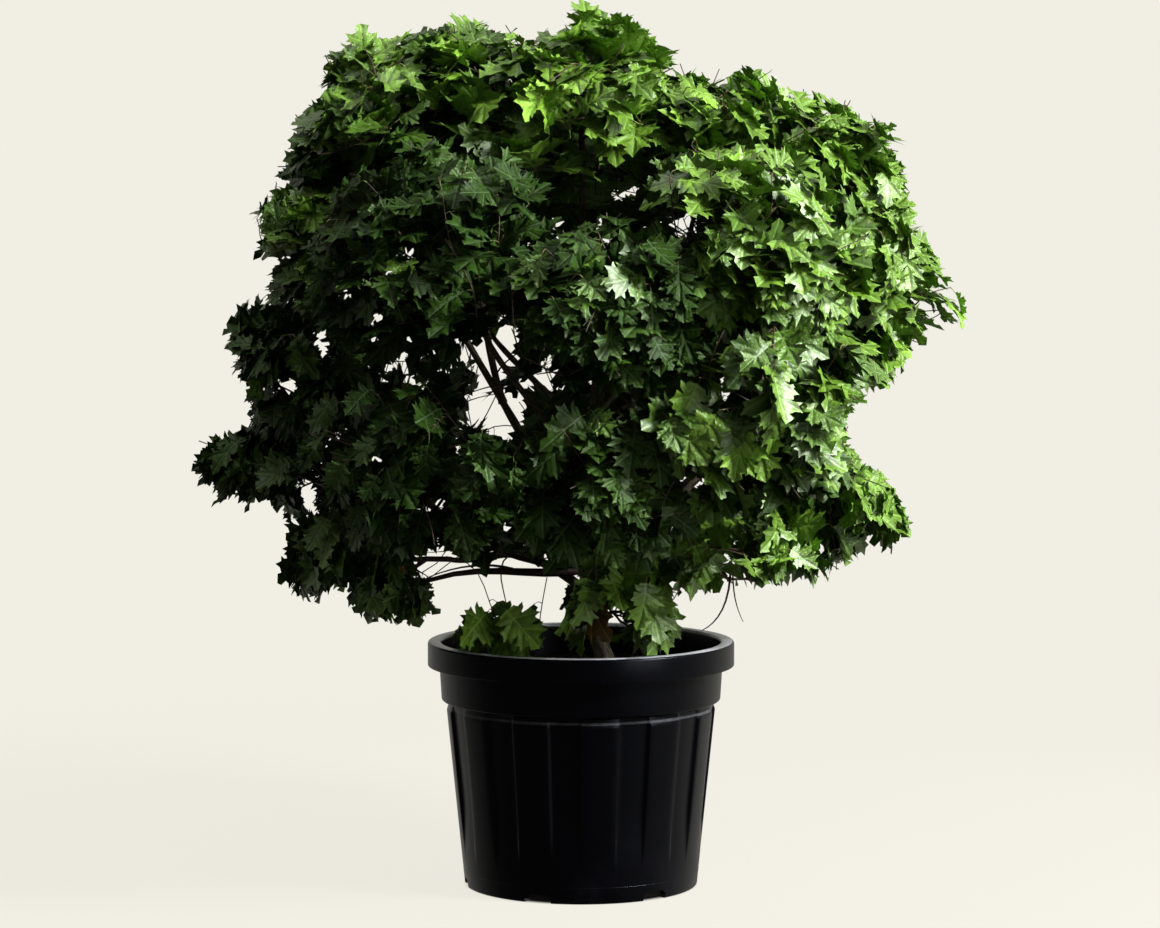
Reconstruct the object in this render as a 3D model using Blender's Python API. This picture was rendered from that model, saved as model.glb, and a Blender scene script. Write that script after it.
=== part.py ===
"""Potted pin oak: a bushy young tree in a ribbed nursery pot, about 1.4 m tall.

The pot stands on z = 0 with its axis on Z, and -Y is the front. A short trunk rises from the
soil, forks low down into ascending boughs, and each bough carries one mass of foliage. Every
mass keeps to its own space: an ellipsoid that is cut flat where its neighbours begin. Twigs
grow in it from one stem to seeded tips, and leaves are fused on around the twigs' outer ends.
"""

import math
from collections import Counter

import bpy
import numpy as np
from mathutils.bvhtree import BVHTree

# General
SEED = 41
CLEARANCE = 0.0003
UP = np.array([0.0, 0.0, 1.0])
SHARP_ANGLE = math.radians(35.0)

# Pot
POT_HEIGHT = 0.400
RIM_RADIUS = 0.250
RIM_SKIRT = 0.039
RIM_WALL = 0.0036
RIM_TOP_WALL = 0.007
RIM_ROUNDING = 0.0045
COLLAR_TOP_RADIUS = 0.2310
COLLAR_FOOT_RADIUS = 0.2275
COLLAR_FOOT = 0.305
BODY_TOP_RADIUS = 0.2210
BODY_FOOT_RADIUS = 0.1900
POT_WALL = 0.003
POT_FLOOR = 0.004
RIB_COUNT = 12
RIB_SPAN = math.radians(15.0)
RIB_FLANK = math.radians(1.6)
FLUTE_DEPTH = 0.0055
RIB_FOOT = 0.075
RIB_FULL_FROM = 0.105
RIB_SHOULDER = 0.287
RIB_PHASE = 0.27
SHOULDER_DROP = 0.004
FOOT_ROUNDING = 0.003
NOTCH_COUNT = 6
NOTCH_TURN = math.radians(-21.5)
NOTCH_WIDTH = 0.045
NOTCH_HEIGHT = 0.014
NOTCH_DEPTH = 0.030
NOTCH_CORNER = 0.005

# Soil
SOIL_TOP = 0.350
SOIL_COLUMNS = 24
SOIL_ROUGHNESS = 0.004
SOIL_LEVEL_RADIUS = 0.060
SOIL_RINGS = (0.82, 0.58)
SOIL_MIDDLE = 0.36

# Trunk
TRUNK_FOOT = np.array([0.044, 0.0])
TRUNK_TOP = np.array([0.008, 0.010])
FORK_HEIGHT = 0.545
TRUNK_FOOT_RADIUS = 0.0150
TRUNK_TOP_RADIUS = 0.0125
TRUNK_SIDES = 12
FLARE = 0.010
FLARE_HEIGHT = 0.016
FLARE_ROOTS = 5
FLARE_LEVELS = (0.0, 0.008, 0.020, 0.040)
TRUNK_STEPS = 4

# Boughs
BOUGH_SIDES = 6
BOUGH_STEPS = 5
BOUGH_TIP_RADIUS = 0.0042
BOUGH_BEND = 0.34
BOUGH_RISE = 0.35
BOUGH_FOLLOW = 0.75
BOUGH_TAPER = 0.8
ENTRY_DEPTH = 0.020
LIMB_BERTH = 0.0012
POT_BERTH = 0.003

# Foliage
CROWN_HEART = np.array([0.0, 0.0, 0.80])
CROWN_REACH = np.array([0.62, 0.55, 0.62])
SPACE_SWELL = 1.30
SPACE_MARGIN = 0.0012
TIPS_PER_MASS = 4
TIP_CANDIDATES = 60
TIP_MARGIN = 0.012
TIP_SHELL = (0.30, 0.80)
TIP_OUTWARD = 0.45
STEM_STEPS = 3
STEM_REACH = 0.25
STEM_LEAD = 1.4
TWIG_STEPS = 2
TWIG_LEAD = 0.8
TWIG_MARGIN = 0.006
TWIG_TIP_RADIUS = 0.0017
TWIG_SWELL = 0.45
TWIG_BEND = 0.33
TWIG_OUT = 0.50
TWIG_DROOP = 0.15
SHORTEST_TWIG = 0.012
LEAVES_PER_TWIG = 4
LEAF_SPACING = 0.24
LEAF_LENGTH = 0.160
LEAF_WIDTH = 0.130
LEAF_THICKNESS = 0.0034
LEAF_BROADEST = 0.45
LEAF_SIZES = (1.0, 0.84, 0.70)
LEAF_TRIES = 20
LEAF_UNEVEN = 0.12
LEAF_SAG = 0.10
LEAF_AHEAD = {"along": 0.40, "side": 0.80, "out": 0.50, "droop": 0.25}
LEAF_FACE = {"out": 0.80, "up": 0.70, "tilt": 0.25}
LEAF_OUTWARD = 0.30

# Openings in the crown, seen from the front at eye height: x, z, half width, half height
EYE = np.array([0.0, -6.0, 1.15])
SKY_WINDOWS = (
    (0.04, 1.092, 0.100, 0.020),
    (-0.11, 0.900, 0.055, 0.040),
)

# Masses of foliage: centre and half sizes of their spaces (x, y, z), the limb that their
# bough leaves and where along it, and the bough's base radius. A mass with no base radius
# grows from the limb itself.
MASSES = {
    "peak": ((0.00, -0.02, 1.305), (0.18, 0.20, 0.140), "trunk", 1.00, 0.0115),
    "top_left": ((-0.36, -0.03, 1.250), (0.145, 0.20, 0.155), "trunk", 0.84, 0.0090),
    "top_right": ((0.22, 0.01, 1.215), (0.16, 0.20, 0.135), "trunk", 0.88, 0.0088),
    "left_tip": ((-0.495, 0.00, 0.690), (0.140, 0.18, 0.090), "trunk", 0.72, 0.0085),
    "right_tip": ((0.490, 0.02, 0.925), (0.150, 0.18, 0.085), "trunk", 0.76, 0.0085),
    "front_centre": ((0.04, -0.41, 0.965), (0.17, 0.14, 0.125), "trunk", 0.80, 0.0080),
    "back_centre": ((0.03, 0.42, 0.960), (0.17, 0.14, 0.130), "trunk", 0.92, 0.0082),
    "top_left_centre": ((-0.195, 0.01, 1.275), (0.15, 0.20, 0.145), "bough_top_left", 0.45, 0.0066),
    "top_back": ((0.03, 0.31, 1.200), (0.25, 0.17, 0.140), "bough_peak", 0.45, 0.0068),
    "right_shoulder": ((0.405, -0.02, 1.165), (0.155, 0.20, 0.140), "bough_top_right", 0.45, 0.0064),
    "left_upper": ((-0.41, -0.06, 1.040), (0.145, 0.20, 0.125), "bough_top_left", 0.62, 0.0062),
    "front_left": ((-0.23, -0.33, 1.040), (0.18, 0.17, 0.160), "bough_front_centre", 0.40, 0.0062),
    "front_right": ((0.26, -0.34, 1.060), (0.18, 0.17, 0.140), "bough_top_right", 0.30, 0.0064),
    "right_upper": ((0.465, -0.03, 1.040), (0.140, 0.20, 0.120), "bough_top_right", 0.38, 0.0060),
    "back_left": ((-0.27, 0.35, 1.030), (0.21, 0.18, 0.150), "bough_back_centre", 0.50, 0.0062),
    "back_right": ((0.30, 0.34, 1.030), (0.21, 0.18, 0.150), "bough_back_centre", 0.62, 0.0060),
    "left_mid": ((-0.45, -0.05, 0.865), (0.140, 0.20, 0.120), "bough_left_tip", 0.45, 0.0062),
    "right_front": ((0.25, -0.37, 0.810), (0.20, 0.17, 0.150), "bough_right_tip", 0.30, 0.0064),
    "left_front": ((-0.24, -0.34, 0.710), (0.18, 0.17, 0.140), "bough_left_tip", 0.30, 0.0060),
    "centre_front": ((0.02, -0.37, 0.695), (0.17, 0.14, 0.125), "trunk", 0.66, 0.0062),
    "back_left_low": ((-0.30, 0.33, 0.740), (0.21, 0.19, 0.160), "bough_left_tip", 0.22, 0.0066),
    "back_right_low": ((0.31, 0.33, 0.740), (0.21, 0.19, 0.160), "bough_right_tip", 0.22, 0.0066),
    "back_low": ((0.00, 0.40, 0.720), (0.16, 0.14, 0.140), "bough_back_centre", 0.25, 0.0062),
    "left_hanging": ((-0.335, -0.06, 0.535), (0.155, 0.19, 0.100), "bough_left_tip", 0.30, 0.0056),
    "right_hanging": ((0.265, -0.10, 0.560), (0.165, 0.18, 0.090), "bough_right_tip", 0.16, 0.0056),
    "right_lower": ((0.430, 0.02, 0.625), (0.130, 0.18, 0.100), "bough_right_tip", 0.60, 0.0058),
    "low_front": ((0.070, -0.150, 0.475), (0.130, 0.13, 0.095), "trunk", 0.60, None),
    "low_left": ((-0.130, -0.100, 0.450), (0.170, 0.13, 0.070), "trunk", 0.50, None),
}

# Colours and finishes: base colour, roughness
FINISHES = {
    "pot": ((0.010, 0.010, 0.012), 0.42),
    "soil": ((0.030, 0.020, 0.013), 0.95),
    "bark": ((0.130, 0.105, 0.070), 0.80),
    "leaf": ((0.030, 0.120, 0.018), 0.38),
    "leaf_sunlit": ((0.060, 0.210, 0.030), 0.36),
}


# Scene and materials

def clear_scene():
    """Removes what a new file holds."""
    for item in list(bpy.data.objects):
        bpy.data.objects.remove(item, do_unlink=True)


def finish(name, key):
    """A Principled material of the sub-part's own."""
    colour, roughness = FINISHES[key]
    material = bpy.data.materials.new(name)
    material.use_nodes = True
    shader = material.node_tree.nodes["Principled BSDF"]
    shader.inputs["Base Color"].default_value = (*colour, 1.0)
    shader.inputs["Roughness"].default_value = roughness
    shader.inputs["Metallic"].default_value = 0.0
    material.diffuse_color = (*colour, 1.0)
    return material


def add_solid(name, solid, key=None, smooth=False, collection=None):
    """Puts a solid, a pair of points and faces, into the scene as an object."""
    points, faces = solid
    mesh = bpy.data.meshes.new(name)
    mesh.from_pydata([tuple(point) for point in points], [], faces)
    if smooth:
        mesh.shade_smooth()
        mesh.set_sharp_from_angle(angle=SHARP_ANGLE)
    if key:
        mesh.materials.append(finish(name, key))
    item = bpy.data.objects.new(name, mesh)
    (collection or bpy.context.scene.collection).objects.link(item)
    return item


# Shapes

def unit(vector):
    return vector / np.linalg.norm(vector)


def across(direction, hint=UP):
    """The part of a hint that is square to a direction, at length 1."""
    flat = hint - direction * np.dot(hint, direction)
    if np.linalg.norm(flat) < 1e-4:
        flat = np.cross(direction, np.array([1.0, 0.3, 0.0]))
    return unit(flat)


def curve(start, first, second, end, steps):
    """Points of a cubic Bezier curve."""
    t = np.linspace(0.0, 1.0, steps + 1)[:, None]
    s = 1.0 - t
    return s ** 3 * start + 3 * s * s * t * first + 3 * s * t * t * second + t ** 3 * end


def stacked_rings(rings):
    """A closed solid through equal rings of points, with a flat cap at each end."""
    count = len(rings[0])
    faces = []
    for level in range(len(rings) - 1):
        low = level * count
        for k in range(count):
            after = (k + 1) % count
            faces.append((low + k, low + after, low + count + after, low + count + k))
    faces.append(tuple(reversed(range(count))))
    top = (len(rings) - 1) * count
    faces.append(tuple(range(top, top + count)))
    return np.concatenate(rings), faces


def tube(path, radii, sides, foot=None):
    """A tapering limb: rings square to the path, turned as little as possible along it.

    The first ring is square to the foot's direction, where one is given.
    """
    tangents = np.gradient(path, axis=0)
    if foot is not None:
        tangents[0] = foot
    side = across(unit(tangents[0]), np.array([0.0, -1.0, 0.1]))
    angles = np.arange(sides) * math.tau / sides
    rings = []
    for centre, tangent, radius in zip(path, tangents, radii):
        ahead = unit(tangent)
        side = across(ahead, side)
        other = np.cross(ahead, side)
        rings.append(centre + radius * (np.outer(np.cos(angles), side) + np.outer(np.sin(angles), other)))
    return stacked_rings(rings)


def leaf(base, ahead, face, length):
    """A leaf of 8 faces: four outline points, with a middle point above and one below."""
    side = np.cross(ahead, face)
    size = length / LEAF_LENGTH
    half = 0.5 * LEAF_WIDTH * size
    middle = base + ahead * LEAF_BROADEST * length
    lift = 0.5 * LEAF_THICKNESS * face
    sag = LEAF_SAG * length * face
    points = np.array([
        base,
        middle + side * half - 0.5 * sag,
        base + ahead * length - sag,
        middle - side * half - 0.5 * sag,
        middle + lift,
        middle - lift,
    ])
    faces = []
    for k in range(4):
        after = (k + 1) % 4
        faces.append((k, after, 4))
        faces.append((after, k, 5))
    return points, faces


# Pot

def body_radius(z):
    """Outer radius of the ribs' crests at a height."""
    return BODY_FOOT_RADIUS + (BODY_TOP_RADIUS - BODY_FOOT_RADIUS) * z / COLLAR_FOOT


def pot_columns():
    """Angles round the pot, six to each rib, and which of them lie in a flute."""
    module = math.tau / RIB_COUNT
    half = 0.5 * RIB_SPAN
    offsets = (-half, 0.0, half, half + RIB_FLANK, 0.5 * module, module - half - RIB_FLANK)
    grooved = (0.0, 0.0, 0.0, 1.0, 1.0, 1.0)
    start = -0.5 * math.pi + RIB_PHASE * module
    angles = [start + k * module + offset for k in range(RIB_COUNT) for offset in offsets]
    return np.array(angles), np.array(grooved * RIB_COUNT)


def pot_profile():
    """Radius, height and groove depth of each ring, from the foot up outside and down inside."""
    flute = FLUTE_DEPTH
    shoulder = COLLAR_FOOT - SHOULDER_DROP
    inner_collar = COLLAR_FOOT_RADIUS - POT_WALL
    inner_top = COLLAR_TOP_RADIUS - POT_WALL
    skirt = POT_HEIGHT - RIM_SKIRT
    under_rim = POT_HEIGHT - RIM_TOP_WALL
    top = POT_HEIGHT
    return [
        (BODY_FOOT_RADIUS - FOOT_ROUNDING, 0.0, 0.0),
        (body_radius(FOOT_ROUNDING), FOOT_ROUNDING, 0.0),
        (body_radius(RIB_FOOT), RIB_FOOT, 0.0),
        (body_radius(RIB_FULL_FROM), RIB_FULL_FROM, flute),
        (body_radius(RIB_SHOULDER), RIB_SHOULDER, flute),
        (body_radius(shoulder) - flute, shoulder, 0.0),
        (COLLAR_FOOT_RADIUS, COLLAR_FOOT, 0.0),
        (COLLAR_TOP_RADIUS, skirt, 0.0),
        (COLLAR_TOP_RADIUS, under_rim, 0.0),
        (RIM_RADIUS - RIM_WALL, under_rim, 0.0),
        (RIM_RADIUS - RIM_WALL, skirt, 0.0),
        (RIM_RADIUS, skirt, 0.0),
        (RIM_RADIUS, top - RIM_ROUNDING, 0.0),
        (RIM_RADIUS - RIM_ROUNDING, top, 0.0),
        (inner_top, top, 0.0),
        (inner_collar, COLLAR_FOOT + SHOULDER_DROP, 0.0),
        (body_radius(shoulder) - flute - POT_WALL, shoulder - SHOULDER_DROP, 0.0),
        (BODY_FOOT_RADIUS - flute - POT_WALL, POT_FLOOR, 0.0),
    ]


def ring_points(angles, radii, z):
    return np.stack([np.cos(angles) * radii, np.sin(angles) * radii, np.full(len(angles), z)], axis=1)


def make_pot():
    """The turned wall with its ribs, rolled rim and collar, less the drain notches at its foot."""
    angles, grooved = pot_columns()
    rings = [ring_points(angles, radius - depth * grooved, z) for radius, z, depth in pot_profile()]
    pot = add_solid("pot", stacked_rings(rings), "pot", smooth=True)
    cut = pot.modifiers.new("drain_notches", "BOOLEAN")
    cut.operation = "DIFFERENCE"
    cut.object = make_notch_cutter()


def make_notch_cutter():
    """Six blocks in one object, round the foot of the pot."""
    points = []
    faces = []
    half = 0.5 * NOTCH_WIDTH
    for k in range(NOTCH_COUNT):
        turn = NOTCH_TURN - 0.5 * math.pi + k * math.tau / NOTCH_COUNT
        outward = np.array([math.cos(turn), math.sin(turn), 0.0])
        side = np.cross(UP, outward)
        centre = outward * BODY_FOOT_RADIUS
        rings = []
        for z, width in (
            (-NOTCH_CORNER, half),
            (NOTCH_HEIGHT - NOTCH_CORNER, half),
            (NOTCH_HEIGHT, half - NOTCH_CORNER),
        ):
            near = centre - outward * NOTCH_DEPTH + UP * z
            far = centre + outward * NOTCH_DEPTH + UP * z
            shift = side * width
            rings.append(np.array([near - shift, far - shift, far + shift, near + shift]))
        block_points, block_faces = stacked_rings(rings)
        first = sum(len(block) for block in points)
        points.append(block_points)
        faces += [tuple(first + index for index in face) for face in block_faces]
    cutter = add_solid("drain_notch_cutter", (np.concatenate(points), faces))
    cutter.hide_render = True
    cutter.display_type = "WIRE"
    return cutter


# Soil

def make_soil():
    """The root ball's soil: it fills the pot, and its rough top is level round the trunk."""
    rng = np.random.default_rng(SEED)
    angles = np.arange(SOIL_COLUMNS) * math.tau / SOIL_COLUMNS
    inside = list(reversed(pot_profile()[-3:]))
    slack = 2.5 * CLEARANCE
    rings = [ring_points(angles, radius - slack, z + CLEARANCE) for radius, z, _ in inside]
    wall_rise = (SOIL_TOP - inside[-1][1]) / (POT_HEIGHT - inside[-1][1])
    inner_top = COLLAR_TOP_RADIUS - POT_WALL
    edge = inside[-1][0] + (inner_top - inside[-1][0]) * wall_rise - slack
    rings.append(ring_points(angles, edge, SOIL_TOP))
    for share in SOIL_RINGS:
        ring = ring_points(angles, edge * share, SOIL_TOP)
        away = np.linalg.norm(ring[:, :2] - TRUNK_FOOT, axis=1)
        rough = np.clip((away - SOIL_LEVEL_RADIUS) / SOIL_LEVEL_RADIUS, 0.0, 1.0)
        ring[:, 2] += rough * rng.uniform(-1.0, 0.6, SOIL_COLUMNS) * SOIL_ROUGHNESS
        rings.append(ring)
    rings.append(ring_points(angles, SOIL_MIDDLE * edge, SOIL_TOP))
    add_solid("soil", stacked_rings(rings), "soil")


# Trunk and boughs

class Limb:
    """A trunk, bough or stem: the path along its middle and its radius at each point."""

    def __init__(self, path, radii, sides, level=False):
        self.path = path
        self.radii = radii
        self.sides = sides
        self.level = level

    def solid(self, grown=0.0):
        """The limb's own solid, or one that is grown a little all round."""
        path = self.path
        if grown:
            path = path.copy()
            path[0] -= unit(path[1] - path[0]) * grown
            path[-1] += unit(path[-1] - path[-2]) * grown
        if self.level:
            return level_trunk(path, self.radii + grown)
        scale = 1.0 / math.cos(math.pi / self.sides)
        return tube(path, self.radii + grown * scale, self.sides)

    def at(self, share):
        """Place, heading and radius at a share of the way along."""
        place = share * (len(self.path) - 1)
        low = min(int(place), len(self.path) - 2)
        part = place - low
        point = self.path[low] * (1.0 - part) + self.path[low + 1] * part
        radius = self.radii[low] * (1.0 - part) + self.radii[low + 1] * part
        return point, unit(self.path[low + 1] - self.path[low]), radius


def flare(z):
    """How far the roots stand out of the trunk at a height."""
    return FLARE * math.exp(-max(z - SOIL_TOP, 0.0) / FLARE_HEIGHT)


def level_trunk(path, radii):
    """Rings that stay level, so the foot and the top are flat cuts, with roots at the foot."""
    angles = np.arange(TRUNK_SIDES) * math.tau / TRUNK_SIDES
    rings = []
    for centre, radius in zip(path, radii):
        roots = 0.6 + 0.4 * np.cos(FLARE_ROOTS * angles + 0.7)
        reach = radius + flare(centre[2]) * roots
        ring = ring_points(angles, reach, centre[2])
        ring[:, :2] += centre[:2]
        rings.append(ring)
    return stacked_rings(rings)


def plan_trunk():
    """The trunk leans to the left as it rises, and straightens a little at the fork."""
    foot = SOIL_TOP + CLEARANCE
    upper = np.linspace(foot + FLARE_LEVELS[-1], FORK_HEIGHT, TRUNK_STEPS + 1)
    heights = np.concatenate([foot + np.array(FLARE_LEVELS), upper[1:]])
    rise = (heights - foot) / (FORK_HEIGHT - foot)
    bend = np.sin(rise * 0.5 * math.pi)[:, None]
    middle = TRUNK_FOOT * (1.0 - bend) + TRUNK_TOP * bend
    radii = TRUNK_FOOT_RADIUS + (TRUNK_TOP_RADIUS - TRUNK_FOOT_RADIUS) * rise
    return Limb(np.column_stack([middle, heights]), radii, TRUNK_SIDES, level=True)


def plan_bough(parent, share, base_radius, space):
    """A limb that leaves its parent upwards and outwards and ends just inside its mass's space."""
    start, along, parent_radius = parent.at(share)
    entry = space.entry(start)
    reach = np.linalg.norm(entry - start)
    heading = unit(unit(entry - start) + BOUGH_RISE * UP)
    if share == 1.0:
        start = start + along * CLEARANCE
        leaving = UP if parent.level else along
    else:
        leaving = unit(BOUGH_FOLLOW * along + unit(entry - start))
    first = start + leaving * BOUGH_BEND * reach
    second = entry - heading * BOUGH_BEND * reach
    path = curve(start, first, second, entry, BOUGH_STEPS)
    share_out = np.linspace(0.0, 1.0, BOUGH_STEPS + 1) ** BOUGH_TAPER
    radii = base_radius + (BOUGH_TIP_RADIUS - base_radius) * share_out
    radii[0] = min(radii[0], 0.95 * parent_radius) if share < 1.0 else radii[0]
    return Limb(path, radii, BOUGH_SIDES)


def cut_clear(item, limbs):
    """Cuts an object back from the limbs that its foot starts inside."""
    for limb in limbs:
        cutter = add_solid("cutter", limb.solid(grown=CLEARANCE))
        cut = item.modifiers.new("clear", "BOOLEAN")
        cut.operation = "DIFFERENCE"
        cut.object = cutter
        apply_modifiers(item)
        bpy.data.objects.remove(cutter, do_unlink=True)


def apply_modifiers(item):
    """Makes an object's evaluated mesh its own mesh."""
    bpy.context.view_layer.update()
    evaluated = item.evaluated_get(bpy.context.evaluated_depsgraph_get())
    mesh = bpy.data.meshes.new_from_object(evaluated)
    item.modifiers.clear()
    item.data = mesh


# Foliage

class Space:
    """The room of one mass: an ellipsoid, cut flat part of the way to each neighbour."""

    def __init__(self, centre, radii):
        self.centre = np.array(centre)
        self.radii = np.array(radii)
        out = outward(self.centre)
        self.room_radii = self.radii * SPACE_SWELL
        self.room_centre = self.centre - out * self.reach(out) * (SPACE_SWELL - 1.0)
        self.normals = np.empty((0, 3))
        self.offsets = np.empty(0)

    def reach(self, direction):
        """Half size of the ellipsoid along a direction."""
        return 1.0 / np.linalg.norm(direction / self.radii)

    def give_way(self, other):
        """Adds the plane between this space and another, nearer to the smaller of the two."""
        gap = other.centre - self.centre
        direction = unit(gap)
        share = self.reach(direction) / (self.reach(direction) + other.reach(direction))
        self.normals = np.vstack([self.normals, direction])
        self.offsets = np.append(self.offsets, np.dot(self.centre + gap * share, direction))

    def holds(self, points, margin=SPACE_MARGIN):
        """Whether all the points lie in the space, clear of its planes by the margin."""
        within = np.linalg.norm((points - self.room_centre) / self.room_radii, axis=1).max() <= 1.0
        return within and (points @ self.normals.T - self.offsets).max() <= -margin

    def entry(self, start):
        """The point a little inside the space where a limb from the start comes in."""
        for share in np.linspace(1.0, 0.0, 101):
            point = self.centre + (start - self.centre) * share
            core = np.linalg.norm((point - self.centre) / self.radii) <= 1.0
            if core and self.holds(point[None], margin=0.4 * ENTRY_DEPTH):
                return point + unit(self.centre - start) * 0.6 * ENTRY_DEPTH
        return self.centre


def make_spaces():
    """One space for each mass, each giving way to all the others."""
    spaces = {name: Space(row[0], row[1]) for name, row in MASSES.items()}
    for name, space in spaces.items():
        for other_name, other in spaces.items():
            if other_name != name:
                space.give_way(other)
    return spaces


def outward(point):
    """The direction out of the crown at a point."""
    return unit((point - CROWN_HEART) / CROWN_REACH ** 2)


def in_sky_window(point):
    """Whether a point would close one of the openings, seen from the front."""
    part = (0.0 - EYE[1]) / (point[1] - EYE[1])
    x = EYE[0] + (point[0] - EYE[0]) * part
    z = EYE[2] + (point[2] - EYE[2]) * part
    for middle_x, middle_z, half_x, half_z in SKY_WINDOWS:
        if ((x - middle_x) / half_x) ** 2 + ((z - middle_z) / half_z) ** 2 < 1.0:
            return True
    return False


def spread_tips(space, rng, count):
    """Seeded twig tips, each far from the others, more of them on the crown's outer side."""
    tips = []
    while len(tips) < count:
        ways = rng.normal(size=(TIP_CANDIDATES, 3))
        ways /= np.linalg.norm(ways, axis=1)[:, None]
        shell = rng.uniform(*TIP_SHELL, (TIP_CANDIDATES, 1))
        places = space.room_centre + ways * space.room_radii * shell
        best = None
        best_score = -1.0
        for place, way in zip(places, ways):
            if not space.holds(place[None], margin=TIP_MARGIN) or in_sky_window(place):
                continue
            nearest = min([np.linalg.norm(place - tip) for tip in tips], default=0.1)
            score = nearest * (1.0 + TIP_OUTWARD * np.dot(way, outward(space.centre)))
            if score > best_score:
                best, best_score = place, score
        if best is None:
            break
        tips.append(best)
    return tips


class Skeleton:
    """Points of a growing spray, each with its parent and heading."""

    def __init__(self, start, heading):
        self.points = [start]
        self.headings = [heading]
        self.parents = [-1]
        self.load = [0]
        self.runs = []

    def grow(self, anchor, tip, lead, steps):
        """Grows a twig from an anchor point to a tip, leaving along the anchor's heading."""
        start = self.points[anchor]
        reach = np.linalg.norm(tip - start)
        leaving = unit(self.headings[anchor] * lead + unit(tip - start))
        arriving = unit(unit(tip - start) + TWIG_OUT * outward(tip) - TWIG_DROOP * UP)
        bend = TWIG_BEND * reach
        path = curve(start, start + leaving * bend, tip - arriving * bend, tip, steps)
        run = [anchor]
        for point in path[1:]:
            self.headings.append(unit(point - self.points[run[-1]]))
            self.points.append(point)
            self.parents.append(run[-1])
            self.load.append(0)
            run.append(len(self.points) - 1)
        self.runs.append(run)

    def drop_last(self):
        """Takes the last twig off again."""
        first = self.runs.pop()[1]
        for column in (self.points, self.headings, self.parents, self.load):
            del column[first:]

    def nearest(self, tip):
        """The anchor for a new twig: near the tip, and headed towards it."""
        best = 1
        best_cost = math.inf
        for index in range(1, len(self.points)):
            gap = tip - self.points[index]
            distance = np.linalg.norm(gap)
            if distance < SHORTEST_TWIG:
                continue
            cost = distance * (1.7 - np.dot(self.headings[index], gap / distance))
            if cost < best_cost:
                best, best_cost = index, cost
        return best

    def measure(self):
        """Counts the tips that each point carries."""
        self.load = [0] * len(self.points)
        for run in self.runs:
            index = run[-1]
            while index >= 0:
                self.load[index] += 1
                index = self.parents[index]

    def radius(self, index):
        return TWIG_TIP_RADIUS * max(self.load[index], 1) ** TWIG_SWELL

    def run_solid(self, run):
        """One twig: its foot is sunk in the twig that it leaves."""
        path = np.array([self.points[index] for index in run])
        radii = np.array([self.radius(index) for index in run])
        radii[0] = min(radii[0], 1.1 * radii[1])
        return tube(path, radii, 3, foot=self.headings[0] if run[0] == 0 else None)


def tree_of(solid):
    """A solid's faces, sorted for quick tests of touch."""
    return BVHTree.FromPolygons([tuple(point) for point in solid[0]], solid[1])


def is_clear(solid, others):
    """Whether a solid's faces cross none of the others."""
    tree = tree_of(solid)
    return not any(other.overlap(tree) for other in others)


def grow_mass(space, start, heading, rng, trees):
    """All the solids of one mass: its stem, the twigs that clear the limbs, and their leaves."""
    middle = space.centre + STEM_REACH * space.radii * outward(space.centre)
    skeleton = Skeleton(start, heading)
    skeleton.grow(0, middle, STEM_LEAD, STEM_STEPS)
    tips = spread_tips(space, rng, TIPS_PER_MASS)
    for tip in sorted(tips, key=lambda place: np.linalg.norm(place - start)):
        skeleton.grow(skeleton.nearest(tip), tip, TWIG_LEAD, TWIG_STEPS)
        run = skeleton.runs[-1]
        path = np.array([skeleton.points[index] for index in run])
        if not space.holds(path, margin=TWIG_MARGIN) or not is_clear(skeleton.run_solid(run), trees):
            skeleton.drop_last()
    skeleton.measure()
    solids = [skeleton.run_solid(run) for run in skeleton.runs]
    run_trees = [tree_of(solid) for solid in solids]
    leaf_trees = []
    middles = []
    leaves = []
    for index, run in enumerate(skeleton.runs):
        others = trees + run_trees[:index] + run_trees[index + 1:]
        leaves += grow_leaves(skeleton, run, space, rng, others, leaf_trees, middles)
    return solids + leaves


def grow_leaves(skeleton, run, space, rng, trees, leaf_trees, middles):
    """Leaves spaced along the outer part of one twig, each where the mass is thinnest."""
    leaves = []
    path = np.array([skeleton.points[index] for index in run])
    for k in range(LEAVES_PER_TWIG):
        place = max(1.0 - LEAF_SPACING * k, 0.0) * (len(path) - 1)
        low = min(int(place), len(path) - 2)
        base = path[low] + (path[low + 1] - path[low]) * (place - low)
        along = unit(path[low + 1] - path[low])
        if k == 0:
            base = base - along * TWIG_TIP_RADIUS
        blade = best_leaf(base, along, space, rng, trees + leaf_trees, middles)
        if blade:
            leaves.append(blade)
            leaf_trees.append(tree_of(blade))
            middles.append(blade[0][4])
    return leaves


def best_leaf(base, along, space, rng, trees, middles):
    """Of some seeded leaves at one place, faces out and up, the one furthest from the others."""
    out = outward(base)
    length = LEAF_LENGTH * rng.uniform(1.0 - LEAF_UNEVEN, 1.0 + LEAF_UNEVEN)
    sides = rng.normal(size=(LEAF_TRIES, 3))
    tilts = rng.normal(size=(LEAF_TRIES, 3)) * LEAF_FACE["tilt"]
    pull = LEAF_AHEAD["along"] * along + LEAF_AHEAD["out"] * out - LEAF_AHEAD["droop"] * UP
    sky = LEAF_FACE["out"] * out + LEAF_FACE["up"] * UP
    for size in LEAF_SIZES:
        best = None
        best_score = -1.0
        for side, tilt in zip(sides, tilts):
            ahead = unit(pull + LEAF_AHEAD["side"] * unit(side))
            blade = leaf(base, ahead, across(ahead, sky + tilt), length * size)
            middle = blade[0][4]
            if not space.holds(blade[0]) or in_sky_window(middle) or not is_clear(blade, trees):
                continue
            nearest = min([np.linalg.norm(middle - other) for other in middles], default=0.1)
            score = nearest + LEAF_OUTWARD * np.dot(middle - base, out)
            if score > best_score:
                best, best_score = blade, score
        if best:
            return best
    return None


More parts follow.
